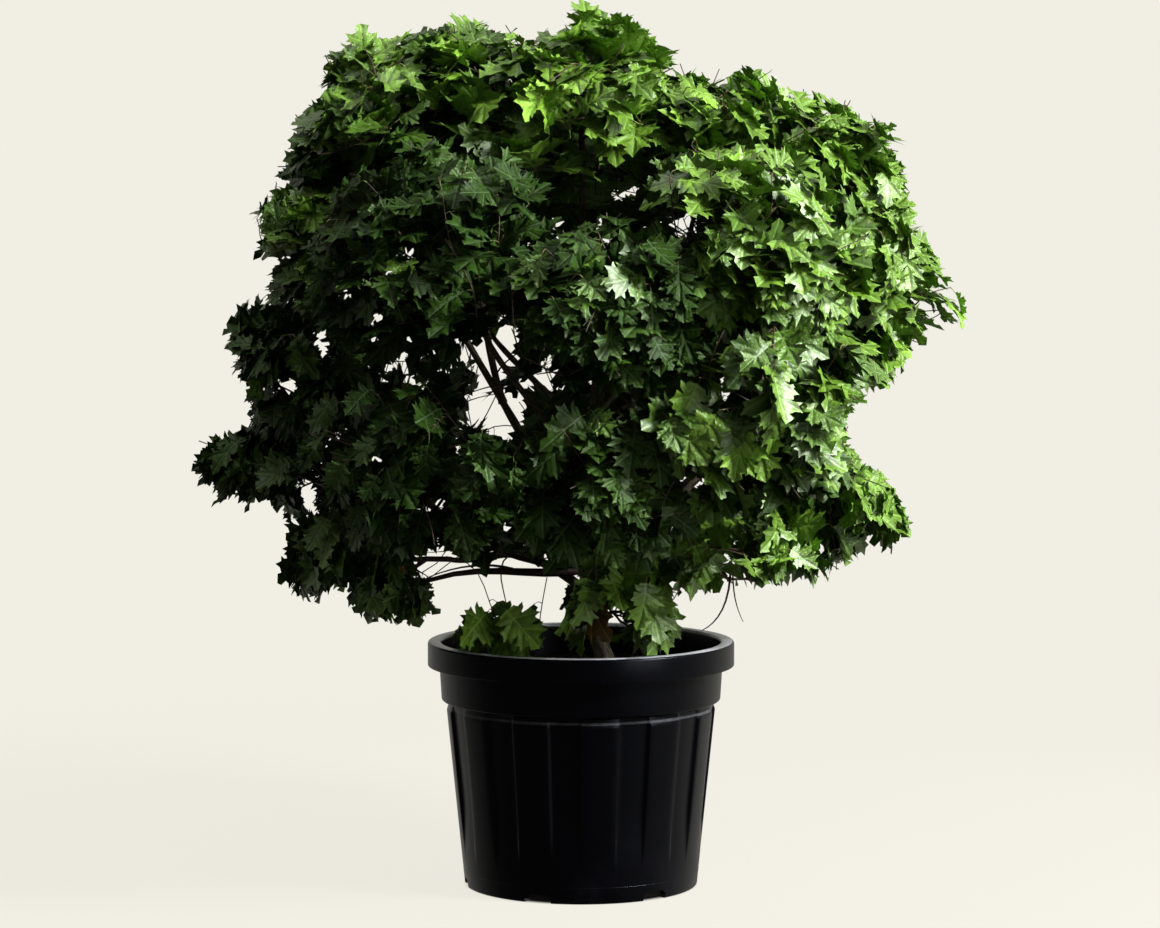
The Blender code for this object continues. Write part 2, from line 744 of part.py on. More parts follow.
def fuse(name, solids, key):
    """Joins a mass's solids into one with a single union, and keeps only its outer skin."""
    pieces = bpy.data.collections.new(name + "_pieces")
    first, *others = solids
    for solid in others:
        add_solid("piece", solid, collection=pieces)
    bpy.context.scene.collection.children.link(pieces)
    mass = add_solid(name, first, key)
    start_mesh = mass.data
    for solver in ("EXACT", "MANIFOLD"):
        mass.data = start_mesh
        union = mass.modifiers.new("union", "BOOLEAN")
        union.operation = "UNION"
        union.operand_type = "COLLECTION"
        union.collection = pieces
        union.solver = solver
        apply_modifiers(mass)
        keep_outer_skin(mass)
        if is_closed(mass.data):
            break
    for piece in list(pieces.objects):
        bpy.data.objects.remove(piece, do_unlink=True)
    bpy.data.collections.remove(pieces)
    mass.data.materials.clear()
    mass.data.materials.append(finish(name, key))
    return mass


def is_closed(mesh):
    """Whether each edge has exactly two faces."""
    keys = [key for polygon in mesh.polygons for key in polygon.edge_keys]
    return set(Counter(keys).values()) == {2}


def keep_outer_skin(item):
    """Drops sealed hollows and loose scraps, so that one closed skin is left."""
    mesh = item.data
    group = list(range(len(mesh.vertices)))

    def root(index):
        while group[index] != index:
            group[index] = group[group[index]]
            index = group[index]
        return index

    for edge in mesh.edges:
        group[root(edge.vertices[0])] = root(edge.vertices[1])
    sizes = {}
    for polygon in mesh.polygons:
        key = root(polygon.vertices[0])
        sizes[key] = sizes.get(key, 0) + 1
    best = max(sizes, key=sizes.get)
    kept = [index for index in range(len(mesh.vertices)) if root(index) == best]
    renumbered = {index: k for k, index in enumerate(kept)}
    points = [mesh.vertices[index].co[:] for index in kept]
    faces = [
        tuple(renumbered[index] for index in polygon.vertices)
        for polygon in mesh.polygons
        if root(polygon.vertices[0]) == best
    ]
    clean = bpy.data.meshes.new(mesh.name)
    clean.from_pydata(points, [], faces)
    item.data = clean


def make_tree():
    """The trunk, then each bough, and then each mass, in the order of the table."""
    limbs = {"trunk": plan_trunk()}
    spaces = make_spaces()
    for name, (_, _, parent, share, base_radius) in MASSES.items():
        if base_radius:
            limbs["bough_" + name] = plan_bough(limbs[parent], share, base_radius, spaces[name])
    made = []
    for name, limb in limbs.items():
        item = add_solid(name, limb.solid())
        cut_clear(item, foot_neighbours(limb, [limbs[other] for other in made]))
        keep_outer_skin(item)
        item.data.shade_smooth()
        item.data.set_sharp_from_angle(angle=SHARP_ANGLE)
        item.data.materials.append(finish(name, "bark"))
        made.append(name)
    trees = [tree_of(limb.solid(grown=LIMB_BERTH)) for limb in limbs.values()]
    trees.append(tree_of(pot_guard()))
    for index, name in enumerate(MASSES):
        rng = np.random.default_rng(SEED + index)
        start, heading = stem_start(name, limbs)
        key = "leaf_sunlit" if spaces[name].centre[0] > 0.0 else "leaf"
        fuse("foliage_" + name, grow_mass(spaces[name], start, heading, rng, trees), key)


def foot_neighbours(limb, others):
    """The limbs that a new limb's solid runs into at its foot, its parent among them."""
    tree = tree_of(limb.solid())
    return [other for other in others if tree.overlap(tree_of(other.solid(grown=0.9 * CLEARANCE)))]


def stem_start(name, limbs):
    """Where a mass's stem begins: on its bough's tip, or on the front of the trunk."""
    _, _, parent, share, base_radius = MASSES[name]
    if base_radius:
        path = limbs["bough_" + name].path
        heading = unit(path[-1] - path[-2])
        return path[-1] + heading * CLEARANCE, heading
    point, along, radius = limbs[parent].at(share)
    heading = across(along, np.array(MASSES[name][0]) - point)
    return point + heading * (radius + flare(point[2]) + CLEARANCE), heading


def pot_guard():
    """The pot's inner side, rim and the soil's top, as far as foliage must keep off them."""
    angles = np.arange(48) * math.tau / 48
    keep = POT_BERTH
    inner_top = COLLAR_TOP_RADIUS - POT_WALL
    rings = [
        ring_points(angles, 0.02, SOIL_TOP + keep),
        ring_points(angles, inner_top - keep, SOIL_TOP + keep),
        ring_points(angles, inner_top - keep, POT_HEIGHT + keep),
        ring_points(angles, RIM_RADIUS + keep, POT_HEIGHT + keep),
        ring_points(angles, RIM_RADIUS + keep, POT_HEIGHT - RIM_SKIRT),
    ]
    return stacked_rings(rings)


def main():
    clear_scene()
    make_pot()
    make_soil()
    make_tree()


main()
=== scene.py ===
"""Looks of a potted pin oak: its ribbed nursery pot, the soil in it, the bark of the trunk and
boughs, and a crown of twigs, petioles and leaves that grow by the rule of the part's source.

Lengths are in metres, +Z is up and the front is -Y. Every surface is worked out as whole arrays.
"""

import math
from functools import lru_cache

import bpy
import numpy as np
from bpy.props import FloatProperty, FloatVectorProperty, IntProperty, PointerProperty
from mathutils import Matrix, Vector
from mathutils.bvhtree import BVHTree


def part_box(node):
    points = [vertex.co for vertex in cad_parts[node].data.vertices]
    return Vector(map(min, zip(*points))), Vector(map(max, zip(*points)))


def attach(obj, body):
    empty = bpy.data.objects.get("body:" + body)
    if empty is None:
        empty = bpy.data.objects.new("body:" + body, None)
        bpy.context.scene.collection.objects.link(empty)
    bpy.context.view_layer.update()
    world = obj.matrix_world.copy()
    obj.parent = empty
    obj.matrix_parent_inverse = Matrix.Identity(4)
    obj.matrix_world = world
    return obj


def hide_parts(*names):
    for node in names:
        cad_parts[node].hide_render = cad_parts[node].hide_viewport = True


bl_info = {
    "name": "Potted pin oak",
    "version": (1, 0, 0),
    "blender": (4, 5, 0),
    "location": "3D View > Sidebar > Pin oak",
    "description": "Dresses the frame of a potted pin oak with its pot, soil, bark and leaves",
    "category": "Add Mesh",
}

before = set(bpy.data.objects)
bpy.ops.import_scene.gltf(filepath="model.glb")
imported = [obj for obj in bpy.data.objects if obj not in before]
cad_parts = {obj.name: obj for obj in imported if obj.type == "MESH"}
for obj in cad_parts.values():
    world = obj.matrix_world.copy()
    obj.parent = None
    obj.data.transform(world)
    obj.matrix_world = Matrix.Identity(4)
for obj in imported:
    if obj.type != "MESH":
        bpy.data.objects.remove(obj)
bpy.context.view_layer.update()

BODY = "root"
UP = np.array([0.0, 0.0, 1.0])

# Places that the frame gives
POT_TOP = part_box("pot")[1].z
RIM_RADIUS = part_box("pot")[1].x
FORK_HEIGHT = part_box("trunk")[1].z
LIMB_NODES = [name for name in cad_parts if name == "trunk" or name.startswith("bough_")]
FOLIAGE_NODES = [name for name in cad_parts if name.startswith("foliage_")]

# Pot: the clear radius of its mouth, and details of its wall and its foot
POT_MOUTH = 0.228
RIB_PHASE = 0.27
SHOULDER_DROP = 0.004
FOOT_LINE_HEIGHT = 0.026
FOOT_LINE = 0.00025
CORNER_STEPS = 5
NOTCH_TURN = math.radians(-21.5)
NOTCH_CORNER = 0.005
NOTCH_DEPTH = 0.030
POT_CREASE = math.radians(32.0)

# Soil and the chips on it: widths and heights are shares of a chip's length
SOIL_TOP = 0.350
SOIL_SLACK = 0.0008
SOIL_COLUMNS = 128
SOIL_RINGS = 40
BARE_ROUND_TRUNK = 0.034
BARE_AT_WALL = 0.014
CLOD_CELLS = 38.0
CHIP_SPREAD = 0.40
CHIP_WIDTHS = (0.35, 0.75)
CHIP_HEIGHTS = (0.10, 0.28)
CHIP_CORNERS = (0.65, 1.1)
CHIP_TILTS = (0.25, 0.35)
CHIP_LIFT = 0.3
CHIP_CREASE = math.radians(40.0)

# The rule of the part's source: trunk and boughs
SEED = 41
CLEARANCE = 0.0003
TRUNK_FOOT = np.array([0.044, 0.0])
TRUNK_TOP = np.array([0.008, 0.010])
TRUNK_FOOT_RADIUS = 0.0150
TRUNK_TOP_RADIUS = 0.0125
FLARE = 0.010
FLARE_HEIGHT = 0.016
FLARE_ROOTS = 5
FLARE_LEVELS = (0.0, 0.008, 0.020, 0.040)
TRUNK_STEPS = 4
BOUGH_STEPS = 5
BOUGH_TIP_RADIUS = 0.0042
BOUGH_BEND = 0.34
BOUGH_RISE = 0.35
BOUGH_FOLLOW = 0.75
BOUGH_TAPER = 0.8
ENTRY_DEPTH = 0.020

# Bark
TRUNK_SIDES = 72
TRUNK_RINGS = 110
TRUNK_SINK = 0.004
TRUNK_NARROWING = 0.0014
NARROWING_LENGTH = 0.018
ROOT_RIDGE = 0.4
ROOT_TURN = 0.7
BOUGH_SIDES = 18
BOUGH_RINGS = 44
COLLAR_LENGTH = 0.012
KNOTS = 0.10
KNOTS_IN_A_METRE = 22.0
PLATES_IN_A_METRE = 420.0
CRACKS_IN_A_METRE = 230.0
SWELLS_IN_A_METRE = (60.0, 60.0, 38.0)
GRAIN_STRETCH = (1.0, 1.0, 0.16)
CRACK_WIDTH = 0.16
FULL_RELIEF_FROM = 0.008

# The rule of the part's source: spaces, stems and first twigs
CROWN_HEART = np.array([0.0, 0.0, 0.80])
CROWN_REACH = np.array([0.62, 0.55, 0.62])
SPACE_SWELL = 1.30
TIPS_PER_MASS = 4
TIP_CANDIDATES = 60
TIP_MARGIN = 0.012
TIP_SHELL = (0.30, 0.80)
TIP_OUTWARD = 0.45
STEM_REACH = 0.25
STEM_LEAD = 1.4
TWIG_LEAD = 0.8
TWIG_BEND = 0.33
TWIG_OUT = 0.50
TWIG_DROOP = 0.15
SHORTEST_TWIG = 0.012
TURN_BACK_COST = 1.7
EYE = np.array([0.0, -6.0, 1.15])

# Openings seen from the front: x, z, half width, half height, share of the leaves left out. The
# source's own two keep its twigs out, the next ones go through the whole crown, and the last three
# thin only the masses in front of FRONT_DEPTH.
TIP_WINDOWS = (
    (0.04, 1.092, 0.100, 0.020, 1.0),
    (-0.11, 0.900, 0.055, 0.040, 1.0),
)
LEAF_WINDOWS = (
    (0.060, 1.092, 0.170, 0.034, 0.34),
    (0.030, 1.090, 0.046, 0.016, 0.62),
    (0.130, 1.090, 0.024, 0.016, 0.62),
    (0.174, 1.072, 0.018, 0.014, 1.0),
    (-0.250, 0.865, 0.120, 0.075, 0.44),
    (-0.050, 0.830, 0.115, 0.150, 0.26),
    (-0.146, 0.890, 0.034, 0.040, 0.92),
    (-0.305, 0.876, 0.016, 0.020, 0.75),
    (-0.329, 0.927, 0.012, 0.012, 1.0),
    (-0.373, 0.970, 0.012, 0.014, 1.0),
    (-0.310, 1.009, 0.011, 0.011, 1.0),
    (-0.273, 1.035, 0.010, 0.018, 1.0),
    (-0.416, 0.890, 0.012, 0.016, 1.0),
    (-0.477, 0.814, 0.013, 0.016, 1.0),
    (-0.384, 0.757, 0.010, 0.014, 1.0),
    (-0.405, 0.723, 0.012, 0.010, 1.0),
    (-0.490, 0.725, 0.016, 0.009, 1.0),
    (-0.338, 0.688, 0.012, 0.012, 1.0),
    (-0.212, 0.710, 0.012, 0.013, 1.0),
    (-0.178, 0.767, 0.015, 0.014, 1.0),
    (-0.125, 0.763, 0.025, 0.030, 0.94),
    (-0.060, 0.829, 0.012, 0.015, 1.0),
    (0.000, 0.832, 0.018, 0.024, 0.70),
    (-0.036, 0.640, 0.014, 0.018, 0.90),
    (-0.245, 0.628, 0.034, 0.009, 1.0),
    (-0.438, 0.650, 0.013, 0.024, 1.0),
    (0.556, 0.942, 0.012, 0.014, 1.0),
    (0.242, 0.803, 0.050, 0.016, 0.8),
    (0.186, 0.668, 0.014, 0.013, 1.0),
    (0.278, 0.657, 0.020, 0.012, 0.9),
    (0.395, 0.568, 0.011, 0.020, 1.0),
    (0.242, 0.519, 0.016, 0.009, 1.0),
    (-0.184, 0.489, 0.052, 0.028, 1.0),
    (-0.240, 0.522, 0.032, 0.020, 1.0),
    (-0.076, 0.494, 0.020, 0.013, 1.0),
    (-0.044, 0.460, 0.020, 0.028, 1.0),
    (0.045, 0.408, 0.023, 0.042, 1.0),
)
FRONT_WINDOWS = (
    (-0.035, 0.570, 0.085, 0.048, 0.60),
    (0.185, 0.570, 0.050, 0.034, 0.50),
    (-0.180, 0.820, 0.110, 0.080, 0.22),
)
FRONT_DEPTH = -0.10

# The crown's outline seen from the front: x and z of its corners, from the low left mass round
CROWN_OUTLINE = np.array([
    (-0.24, 0.418), (-0.33, 0.424), (-0.375, 0.440), (-0.385, 0.485), (-0.425, 0.485), (-0.430, 0.458),
    (-0.465, 0.452), (-0.500, 0.480), (-0.500, 0.560), (-0.485, 0.600), (-0.500, 0.620), (-0.550, 0.625),
    (-0.605, 0.645), (-0.635, 0.670), (-0.635, 0.710), (-0.612, 0.738), (-0.550, 0.742), (-0.538, 0.800),
    (-0.560, 0.830), (-0.585, 0.875), (-0.585, 0.925), (-0.555, 0.965), (-0.510, 0.985), (-0.478, 1.010),
    (-0.480, 1.032), (-0.540, 1.036), (-0.530, 1.065), (-0.520, 1.130), (-0.500, 1.165), (-0.466, 1.195),
    (-0.462, 1.260), (-0.440, 1.275), (-0.422, 1.305), (-0.420, 1.340), (-0.395, 1.375), (-0.355, 1.398),
    (-0.322, 1.368), (-0.290, 1.396), (-0.120, 1.408), (-0.085, 1.383), (-0.042, 1.386), (-0.020, 1.428),
    (0.005, 1.442), (0.075, 1.422), (0.140, 1.362), (0.205, 1.326), (0.300, 1.345), (0.335, 1.312),
    (0.430, 1.294), (0.446, 1.256), (0.512, 1.250), (0.515, 1.160), (0.555, 1.135), (0.542, 1.085),
    (0.580, 1.000), (0.640, 0.950), (0.640, 0.915), (0.595, 0.903), (0.550, 0.900), (0.535, 0.838),
    (0.484, 0.800), (0.436, 0.768), (0.434, 0.715), (0.500, 0.658), (0.575, 0.578), (0.565, 0.532),
    (0.510, 0.540), (0.490, 0.568), (0.450, 0.568), (0.446, 0.512), (0.400, 0.485), (0.350, 0.505),
    (0.270, 0.478), (0.225, 0.465), (0.165, 0.480), (0.165, 0.350), (-0.245, 0.350),
])

# A place where this share of the leaves is left out gets no twig
FULL_OPENING = 0.8

# Masses of foliage: centre and half sizes of their spaces (x, y, z), the limb that their
# bough leaves and where along it, and the bough's base radius
MASSES = {
    "peak": ((0.00, -0.02, 1.305), (0.18, 0.20, 0.140), "trunk", 1.00, 0.0115),
    "top_left": ((-0.36, -0.03, 1.250), (0.145, 0.20, 0.155), "trunk", 0.84, 0.0090),
    "top_right": ((0.22, 0.01, 1.215), (0.16, 0.20, 0.135), "trunk", 0.88, 0.0088),
    "left_tip": ((-0.495, 0.00, 0.690), (0.140, 0.18, 0.090), "trunk", 0.72, 0.0085),
    "right_tip": ((0.490, 0.02, 0.925), (0.150, 0.18, 0.085), "trunk", 0.76, 0.0085),
    "front_centre": ((0.04, -0.41, 0.965), (0.17, 0.14, 0.125), "trunk", 0.80, 0.0080),
    "back_centre": ((0.03, 0.42, 0.960), (0.17, 0.14, 0.130), "trunk", 0.92, 0.0082),
    "top_left_centre": ((-0.195, 0.01, 1.275), (0.15, 0.20, 0.145), "bough_top_left", 0.45, 0.0066),
    "top_back": ((0.03, 0.31, 1.200), (0.25, 0.17, 0.140), "bough_peak", 0.45, 0.0068),
    "right_shoulder": ((0.405, -0.02, 1.165), (0.155, 0.20, 0.140), "bough_top_right", 0.45, 0.0064),
    "left_upper": ((-0.41, -0.06, 1.040), (0.145, 0.20, 0.125), "bough_top_left", 0.62, 0.0062),
    "front_left": ((-0.23, -0.33, 1.040), (0.18, 0.17, 0.160), "bough_front_centre", 0.40, 0.0062),
    "front_right": ((0.26, -0.34, 1.060), (0.18, 0.17, 0.140), "bough_top_right", 0.30, 0.0064),
    "right_upper": ((0.465, -0.03, 1.040), (0.140, 0.20, 0.120), "bough_top_right", 0.38, 0.0060),
    "back_left": ((-0.27, 0.35, 1.030), (0.21, 0.18, 0.150), "bough_back_centre", 0.50, 0.0062),
    "back_right": ((0.30, 0.34, 1.030), (0.21, 0.18, 0.150), "bough_back_centre", 0.62, 0.0060),
    "left_mid": ((-0.45, -0.05, 0.865), (0.140, 0.20, 0.120), "bough_left_tip", 0.45, 0.0062),
    "right_front": ((0.25, -0.37, 0.810), (0.20, 0.17, 0.150), "bough_right_tip", 0.30, 0.0064),
    "left_front": ((-0.24, -0.34, 0.710), (0.18, 0.17, 0.140), "bough_left_tip", 0.30, 0.0060),
    "centre_front": ((0.02, -0.37, 0.695), (0.17, 0.14, 0.125), "trunk", 0.66, 0.0062),
    "back_left_low": ((-0.30, 0.33, 0.740), (0.21, 0.19, 0.160), "bough_left_tip", 0.22, 0.0066),
    "back_right_low": ((0.31, 0.33, 0.740), (0.21, 0.19, 0.160), "bough_right_tip", 0.22, 0.0066),
    "back_low": ((0.00, 0.40, 0.720), (0.16, 0.14, 0.140), "bough_back_centre", 0.25, 0.0062),
    "left_hanging": ((-0.335, -0.06, 0.535), (0.155, 0.19, 0.100), "bough_left_tip", 0.30, 0.0056),
    "right_hanging": ((0.265, -0.10, 0.560), (0.165, 0.18, 0.090), "bough_right_tip", 0.16, 0.0056),
    "right_lower": ((0.430, 0.02, 0.625), (0.130, 0.18, 0.100), "bough_right_tip", 0.60, 0.0058),
    "low_front": ((0.070, -0.150, 0.475), (0.130, 0.13, 0.095), "trunk", 0.60, None),
    "low_left": ((-0.130, -0.100, 0.450), (0.170, 0.13, 0.070), "trunk", 0.50, None),
}

# Finer twigs, carried on from the source's
GROWTH_STEPS = 4
FINE_SHELL = (0.40, 0.95)
FINE_MARGIN = 0.006
STEM_SINK = 0.010
TWIG_BERTH = 0.004
TWIG_SIDES = 5
TWIG_SWELL = 0.45
FOOT_SWELL = 1.1

# Bare twigs: control points of the ones that stand out in the photo, and their radius
LONE_TWIGS = (
    (((0.238, -0.14, 0.545), (0.240, -0.15, 0.475), (0.216, -0.15, 0.445), (0.192, -0.15, 0.434)), 0.0022),
    (((0.242, -0.14, 0.540), (0.240, -0.15, 0.495), (0.247, -0.15, 0.470), (0.258, -0.15, 0.448)), 0.0016),
    (((0.012, 0.00, 0.518), (-0.085, -0.03, 0.498), (-0.17, -0.05, 0.547), (-0.29, -0.06, 0.486)), 0.0088),
    (((0.008, 0.00, 0.528), (-0.06, -0.04, 0.518), (-0.13, -0.06, 0.546), (-0.235, -0.08, 0.60)), 0.0070),
    (((-0.11, -0.05, 0.522), (-0.15, -0.06, 0.535), (-0.20, -0.07, 0.53), (-0.245, -0.08, 0.512)), 0.0026),
    (((-0.105, -0.12, 0.56), (-0.06, -0.13, 0.52), (-0.03, -0.13, 0.575), (0.01, -0.12, 0.56)), 0.0016),
    (((0.010, -0.12, 0.585), (0.030, -0.13, 0.560), (0.035, -0.13, 0.530), (0.050, -0.12, 0.520)), 0.0014),
    (((-0.02, -0.11, 0.52), (-0.045, -0.13, 0.545), (-0.02, -0.13, 0.565), (0.012, -0.12, 0.585)), 0.0014),
    (((0.066, -0.10, 0.346), (0.068, -0.10, 0.375), (0.074, -0.11, 0.395), (0.082, -0.11, 0.412)), 0.0009),
    (((0.012, 0.00, 0.530), (-0.020, -0.05, 0.555), (-0.075, -0.08, 0.545), (-0.120, -0.10, 0.570)), 0.0012),
)

# Bare side shoots on the boughs: where they leave them, and how they head, bend and end
SHOOT_STEPS = 9
SHOOT_SPAN = (0.12, 0.85)
SHOOT_LENGTHS = (0.05, 0.15)
SHOOT_RADIUS = 0.0016
SHOOT_TAPER = 0.65
SHOOT_HEADING = {"along": 0.6, "side": 0.8, "up": 0.2}
SHOOT_BEND = {"ahead": 0.8, "stray": 0.5}
SHOOT_TIP = {"ahead": 0.3, "droop": 0.2}

# Leaves along a twig: the turns round it that are tried, and the size that goes with each
GOLDEN_ANGLE = math.radians(137.5)
LEAFLESS_SHARE = 0.10
LEAF_TURNS = np.array([0.0, 1.3, -1.3, 2.4, -2.4, 3.1])
LEAF_SIZES = np.array([1.0, 1.0, 0.95, 0.95, 0.88, 0.76])
LEAF_SIZE_RANGE = (0.86, 1.14)
TIP_LEAF_SIZE = 0.80
LEAF_AHEAD = {"along": 0.35, "side": 0.65, "out": 0.45, "droop": 0.80}
TOP_DROOP_LOSS = 0.85
LEAF_FACE = {"out": 0.95, "up": 0.50, "tilt": 0.36}
LEAF_SHAKE = 0.18
TURN_SHAKE = 0.25
LEAF_OVERHANG = 0.025
LEAF_BERTH = 0.004
POT_BERTH = 0.003
SOIL_BERTH = 0.004

# Leaf stalks: how they leave the twig, bend into the blade and thin out
STALK_RANGE = (0.7, 1.2)
STALK_LEAVING = {"along": 0.5, "side": 0.9, "up": 0.3}
STALK_SHARES = {"leaving": 0.45, "ahead": 0.55}
STALK_BEND = 0.15
STALK_IN_BLADE = 0.03
STALK_TAPER = np.array([1.15, 0.9, 0.7])
STALK_SIDES = 3

# The leaves of some masses are larger than the rest, and some have fewer or more twigs
LEAF_SCALES = {"low_left": 1.22, "low_front": 1.20, "front_right": 1.08, "right_front": 1.08}
TWIG_SHARES = {
    "low_left": 0.55,
    "low_front": 0.80,
    "left_tip": 1.25,
    "right_tip": 1.35,
    "right_lower": 1.35,
    "centre_front": 0.88,
    "back_centre": 0.80,
    "back_low": 0.72,
    "back_left": 0.85,
    "back_left_low": 0.80,
    "back_right_low": 0.85,
}

# Tones of the leaves: roughness, coat and the strength of the skin's own gloss. The first four are one
# green in painted shade and painted light, while young and brown are colours of their own. Four of
# them are named again by their place in the list.
LEAF_FINISHES = {
    "shade": (0.46, 0.05, 0.14),
    "deep": (0.40, 0.14, 0.30),
    "mid": (0.34, 0.36, 0.50),
    "bright": (0.36, 0.46, 0.50),
    "young": (0.36, 0.35, 0.50),
    "brown": (0.50, 0.02, 0.20),
}
SHADE, BRIGHT, YOUNG, BROWN = 0, 3, 4, 5

# How much painted light a spray gets, which picks a lighter or darker copy of the green for it: how
# much it gains outwards, to the right and upwards, and how much it strays. Each step between two
# tones is a value of that painted light, and each mass has a lift of its own.
PAINTED_LIGHT_OUTWARD = 0.9
PAINTED_LIGHT_RIGHT = 0.95
PAINTED_LIGHT_UP = 0.35
PAINTED_LIGHT_MIDDLE = (0.75, 0.9)
PAINTED_LIGHT_STRAY = 0.16
YOUNG_SHARE = 0.05
YOUNG_DEPTH = 0.8
# Shares of single leaves dealt a tone darker, the same or brighter: painted light that differs from leaf to
# leaf
ODD_LEAVES = (0.10, 0.72, 0.18)
BROWN_SHARE = 0.02
BROWN_BELOW = 0.55
# The top step deals the young colour to the most lit sprays, as painted light shining through them
PAINTED_LIGHT_STEPS = (-0.22, 0.02, 0.34, 1.05)
# Each mass's lift of painted light: above 0 its sprays are painted lighter, below 0 painted darker
PAINTED_LIGHT_LIFT = {
    # The low left sprig is lifted into the young colour, as painted light shining through it
    "low_left": 1.35,
    "low_front": 0.66,
    "front_left": -0.72,
    "left_front": -0.46,
    "front_centre": -0.52,
    "centre_front": -0.22,
    "top_left": 0.12,
    "top_left_centre": 0.12,
    "top_right": 0.02,
    "top_back": 0.80,
    "left_upper": 0.44,
    "left_mid": 0.05,
    "left_tip": 0.14,
    "left_hanging": 0.38,
    "peak": 0.38,
    "front_right": -0.06,
    "right_front": -0.22,
    "right_hanging": 0.42,
    "right_shoulder": -0.05,
    "right_lower": 0.10,
    "right_upper": -0.05,
    "right_tip": 0.30,
    "back_centre": 0.70,
    "back_left": 0.20,
    "back_right": 0.20,
}

# Leaf outline, one half: across as a share of the width, and along as a share of the length
LEAF_LOBES = (
    ((0.04, 0.02), (0.19, 0.03), (0.24, 0.10), (0.38, 0.09), (0.32, 0.19), (0.17, 0.25)),
    ((0.30, 0.27), (0.43, 0.27), (0.41, 0.36), (0.50, 0.47), (0.37, 0.47), (0.34, 0.55), (0.17, 0.53)),
    ((0.27, 0.61), (0.40, 0.64), (0.31, 0.70), (0.36, 0.83), (0.23, 0.79), (0.12, 0.82)),
    ((0.17, 0.91),),
)
LOBE_COUNT = 2 * len(LEAF_LOBES)

# Hubs of the blade's faces: four on the midrib, then one in each lobe of the right half. The walk
# along the right half's outline sweeps this many edges from each hub in turn.
LEAF_HUBS = ((0.0, 0.16), (0.0, 0.42), (0.0, 0.72), (0.0, 0.88), (0.22, 0.15), (0.30, 0.41), (0.24, 0.69))
LEAF_HUB_LOBES = (3, 3, 3, 3, 0, 1, 2)
LEAF_WALK = ((0, 1), (4, 5), (0, 0), (1, 0), (5, 7), (1, 0), (2, 0), (6, 6), (2, 0), (3, 2))

# How a blade is bent, as a mean and a spread or a spread alone, in shares of its width or length
LEAF_FOLD = (0.22, 0.17)
LEAF_SAG = (0.18, 0.16)
LOBE_LIFT = 0.22
LOBE_REACH = 0.08

# Places on a blade that have to fit its space: across and along
LEAF_PROBES = np.array([
    (0.0, 0.0), (0.35, 0.10), (-0.35, 0.10), (0.5, 0.45), (-0.5, 0.45), (0.36, 0.80), (-0.36, 0.80),
    (0.0, 1.0), (0.0, 0.25), (0.0, 0.5), (0.0, 0.75), (0.25, 0.42), (-0.25, 0.42), (0.2, 0.68),
    (-0.2, 0.68),
])

# A leaf's skin: the tint of the light that it throws back, the roughness of its wax, and how far
# across the UV map the underside lies
LEAF_SHEEN_TINT = (0.80, 1.0, 0.64)
LEAF_WAX = 0.38
UNDERSIDE = 2.0

# Side veins: foot along the midrib, and tip across and along
LEAF_VEINS = ((0.05, 0.38, 0.09), (0.22, 0.50, 0.47), (0.48, 0.36, 0.83))

# Pieces of leaves: the most faces in one, and the angle from which an edge is drawn sharp
PIECE_FACES = 190000
BLADE_CREASE = math.radians(75.0)

# Floor: where the painted shadow under the pot ends, and where the floor fades away
FLOOR_SIDES = 96
PAINTED_SHADOW_UNDER_POT = (0.172, 0.194)
FLOOR_FADE = (0.9, 3.0)

# Lights: name, place, what it points at, and size
LIGHTS = (
    ("key", (3.1, -1.55, 3.0), (0.0, 0.0, 0.9), 1.1),
    ("fill", (3.2, -3.0, 1.3), (0.2, 0.0, 0.9), 2.4),
    ("top", (-0.8, -0.6, 4.0), (0.0, 0.0, 1.0), 1.6),
)

# Camera: its focal length and the picture's width in pixels, and its tilt down in degrees
SENSOR_WIDTH = 36.0
FOCAL_PIXELS = 3700.0
PICTURE_PIXELS = 1160.0
CAMERA_SIDE = -0.0016
CAMERA_TILT = 4.4


# Settings

def metres(name, description, default):
    return FloatProperty(name=name, description=description, default=default, unit="LENGTH", precision=4)


def colour(name, description, default):
    return FloatVectorProperty(name=name, description=description, default=default, subtype="COLOR",
                               size=3, min=0.0, max=1.0)


def share(name, description, default):
    return FloatProperty(name=name, description=description, default=default, subtype="FACTOR",
                         min=0.0, max=1.0)


def angle(name, description, degrees):
    return FloatProperty(name=name, description=description, default=math.radians(degrees), subtype="ANGLE")


def watts(name, description, default):
    return FloatProperty(name=name, description=description, default=default, unit="POWER", min=0.0)


def whole(name, description, default, least=1):
    return IntProperty(name=name, description=description, default=default, min=least)


def glow(name, description, default):
    return FloatProperty(name=name, description=description, default=default, min=0.0)


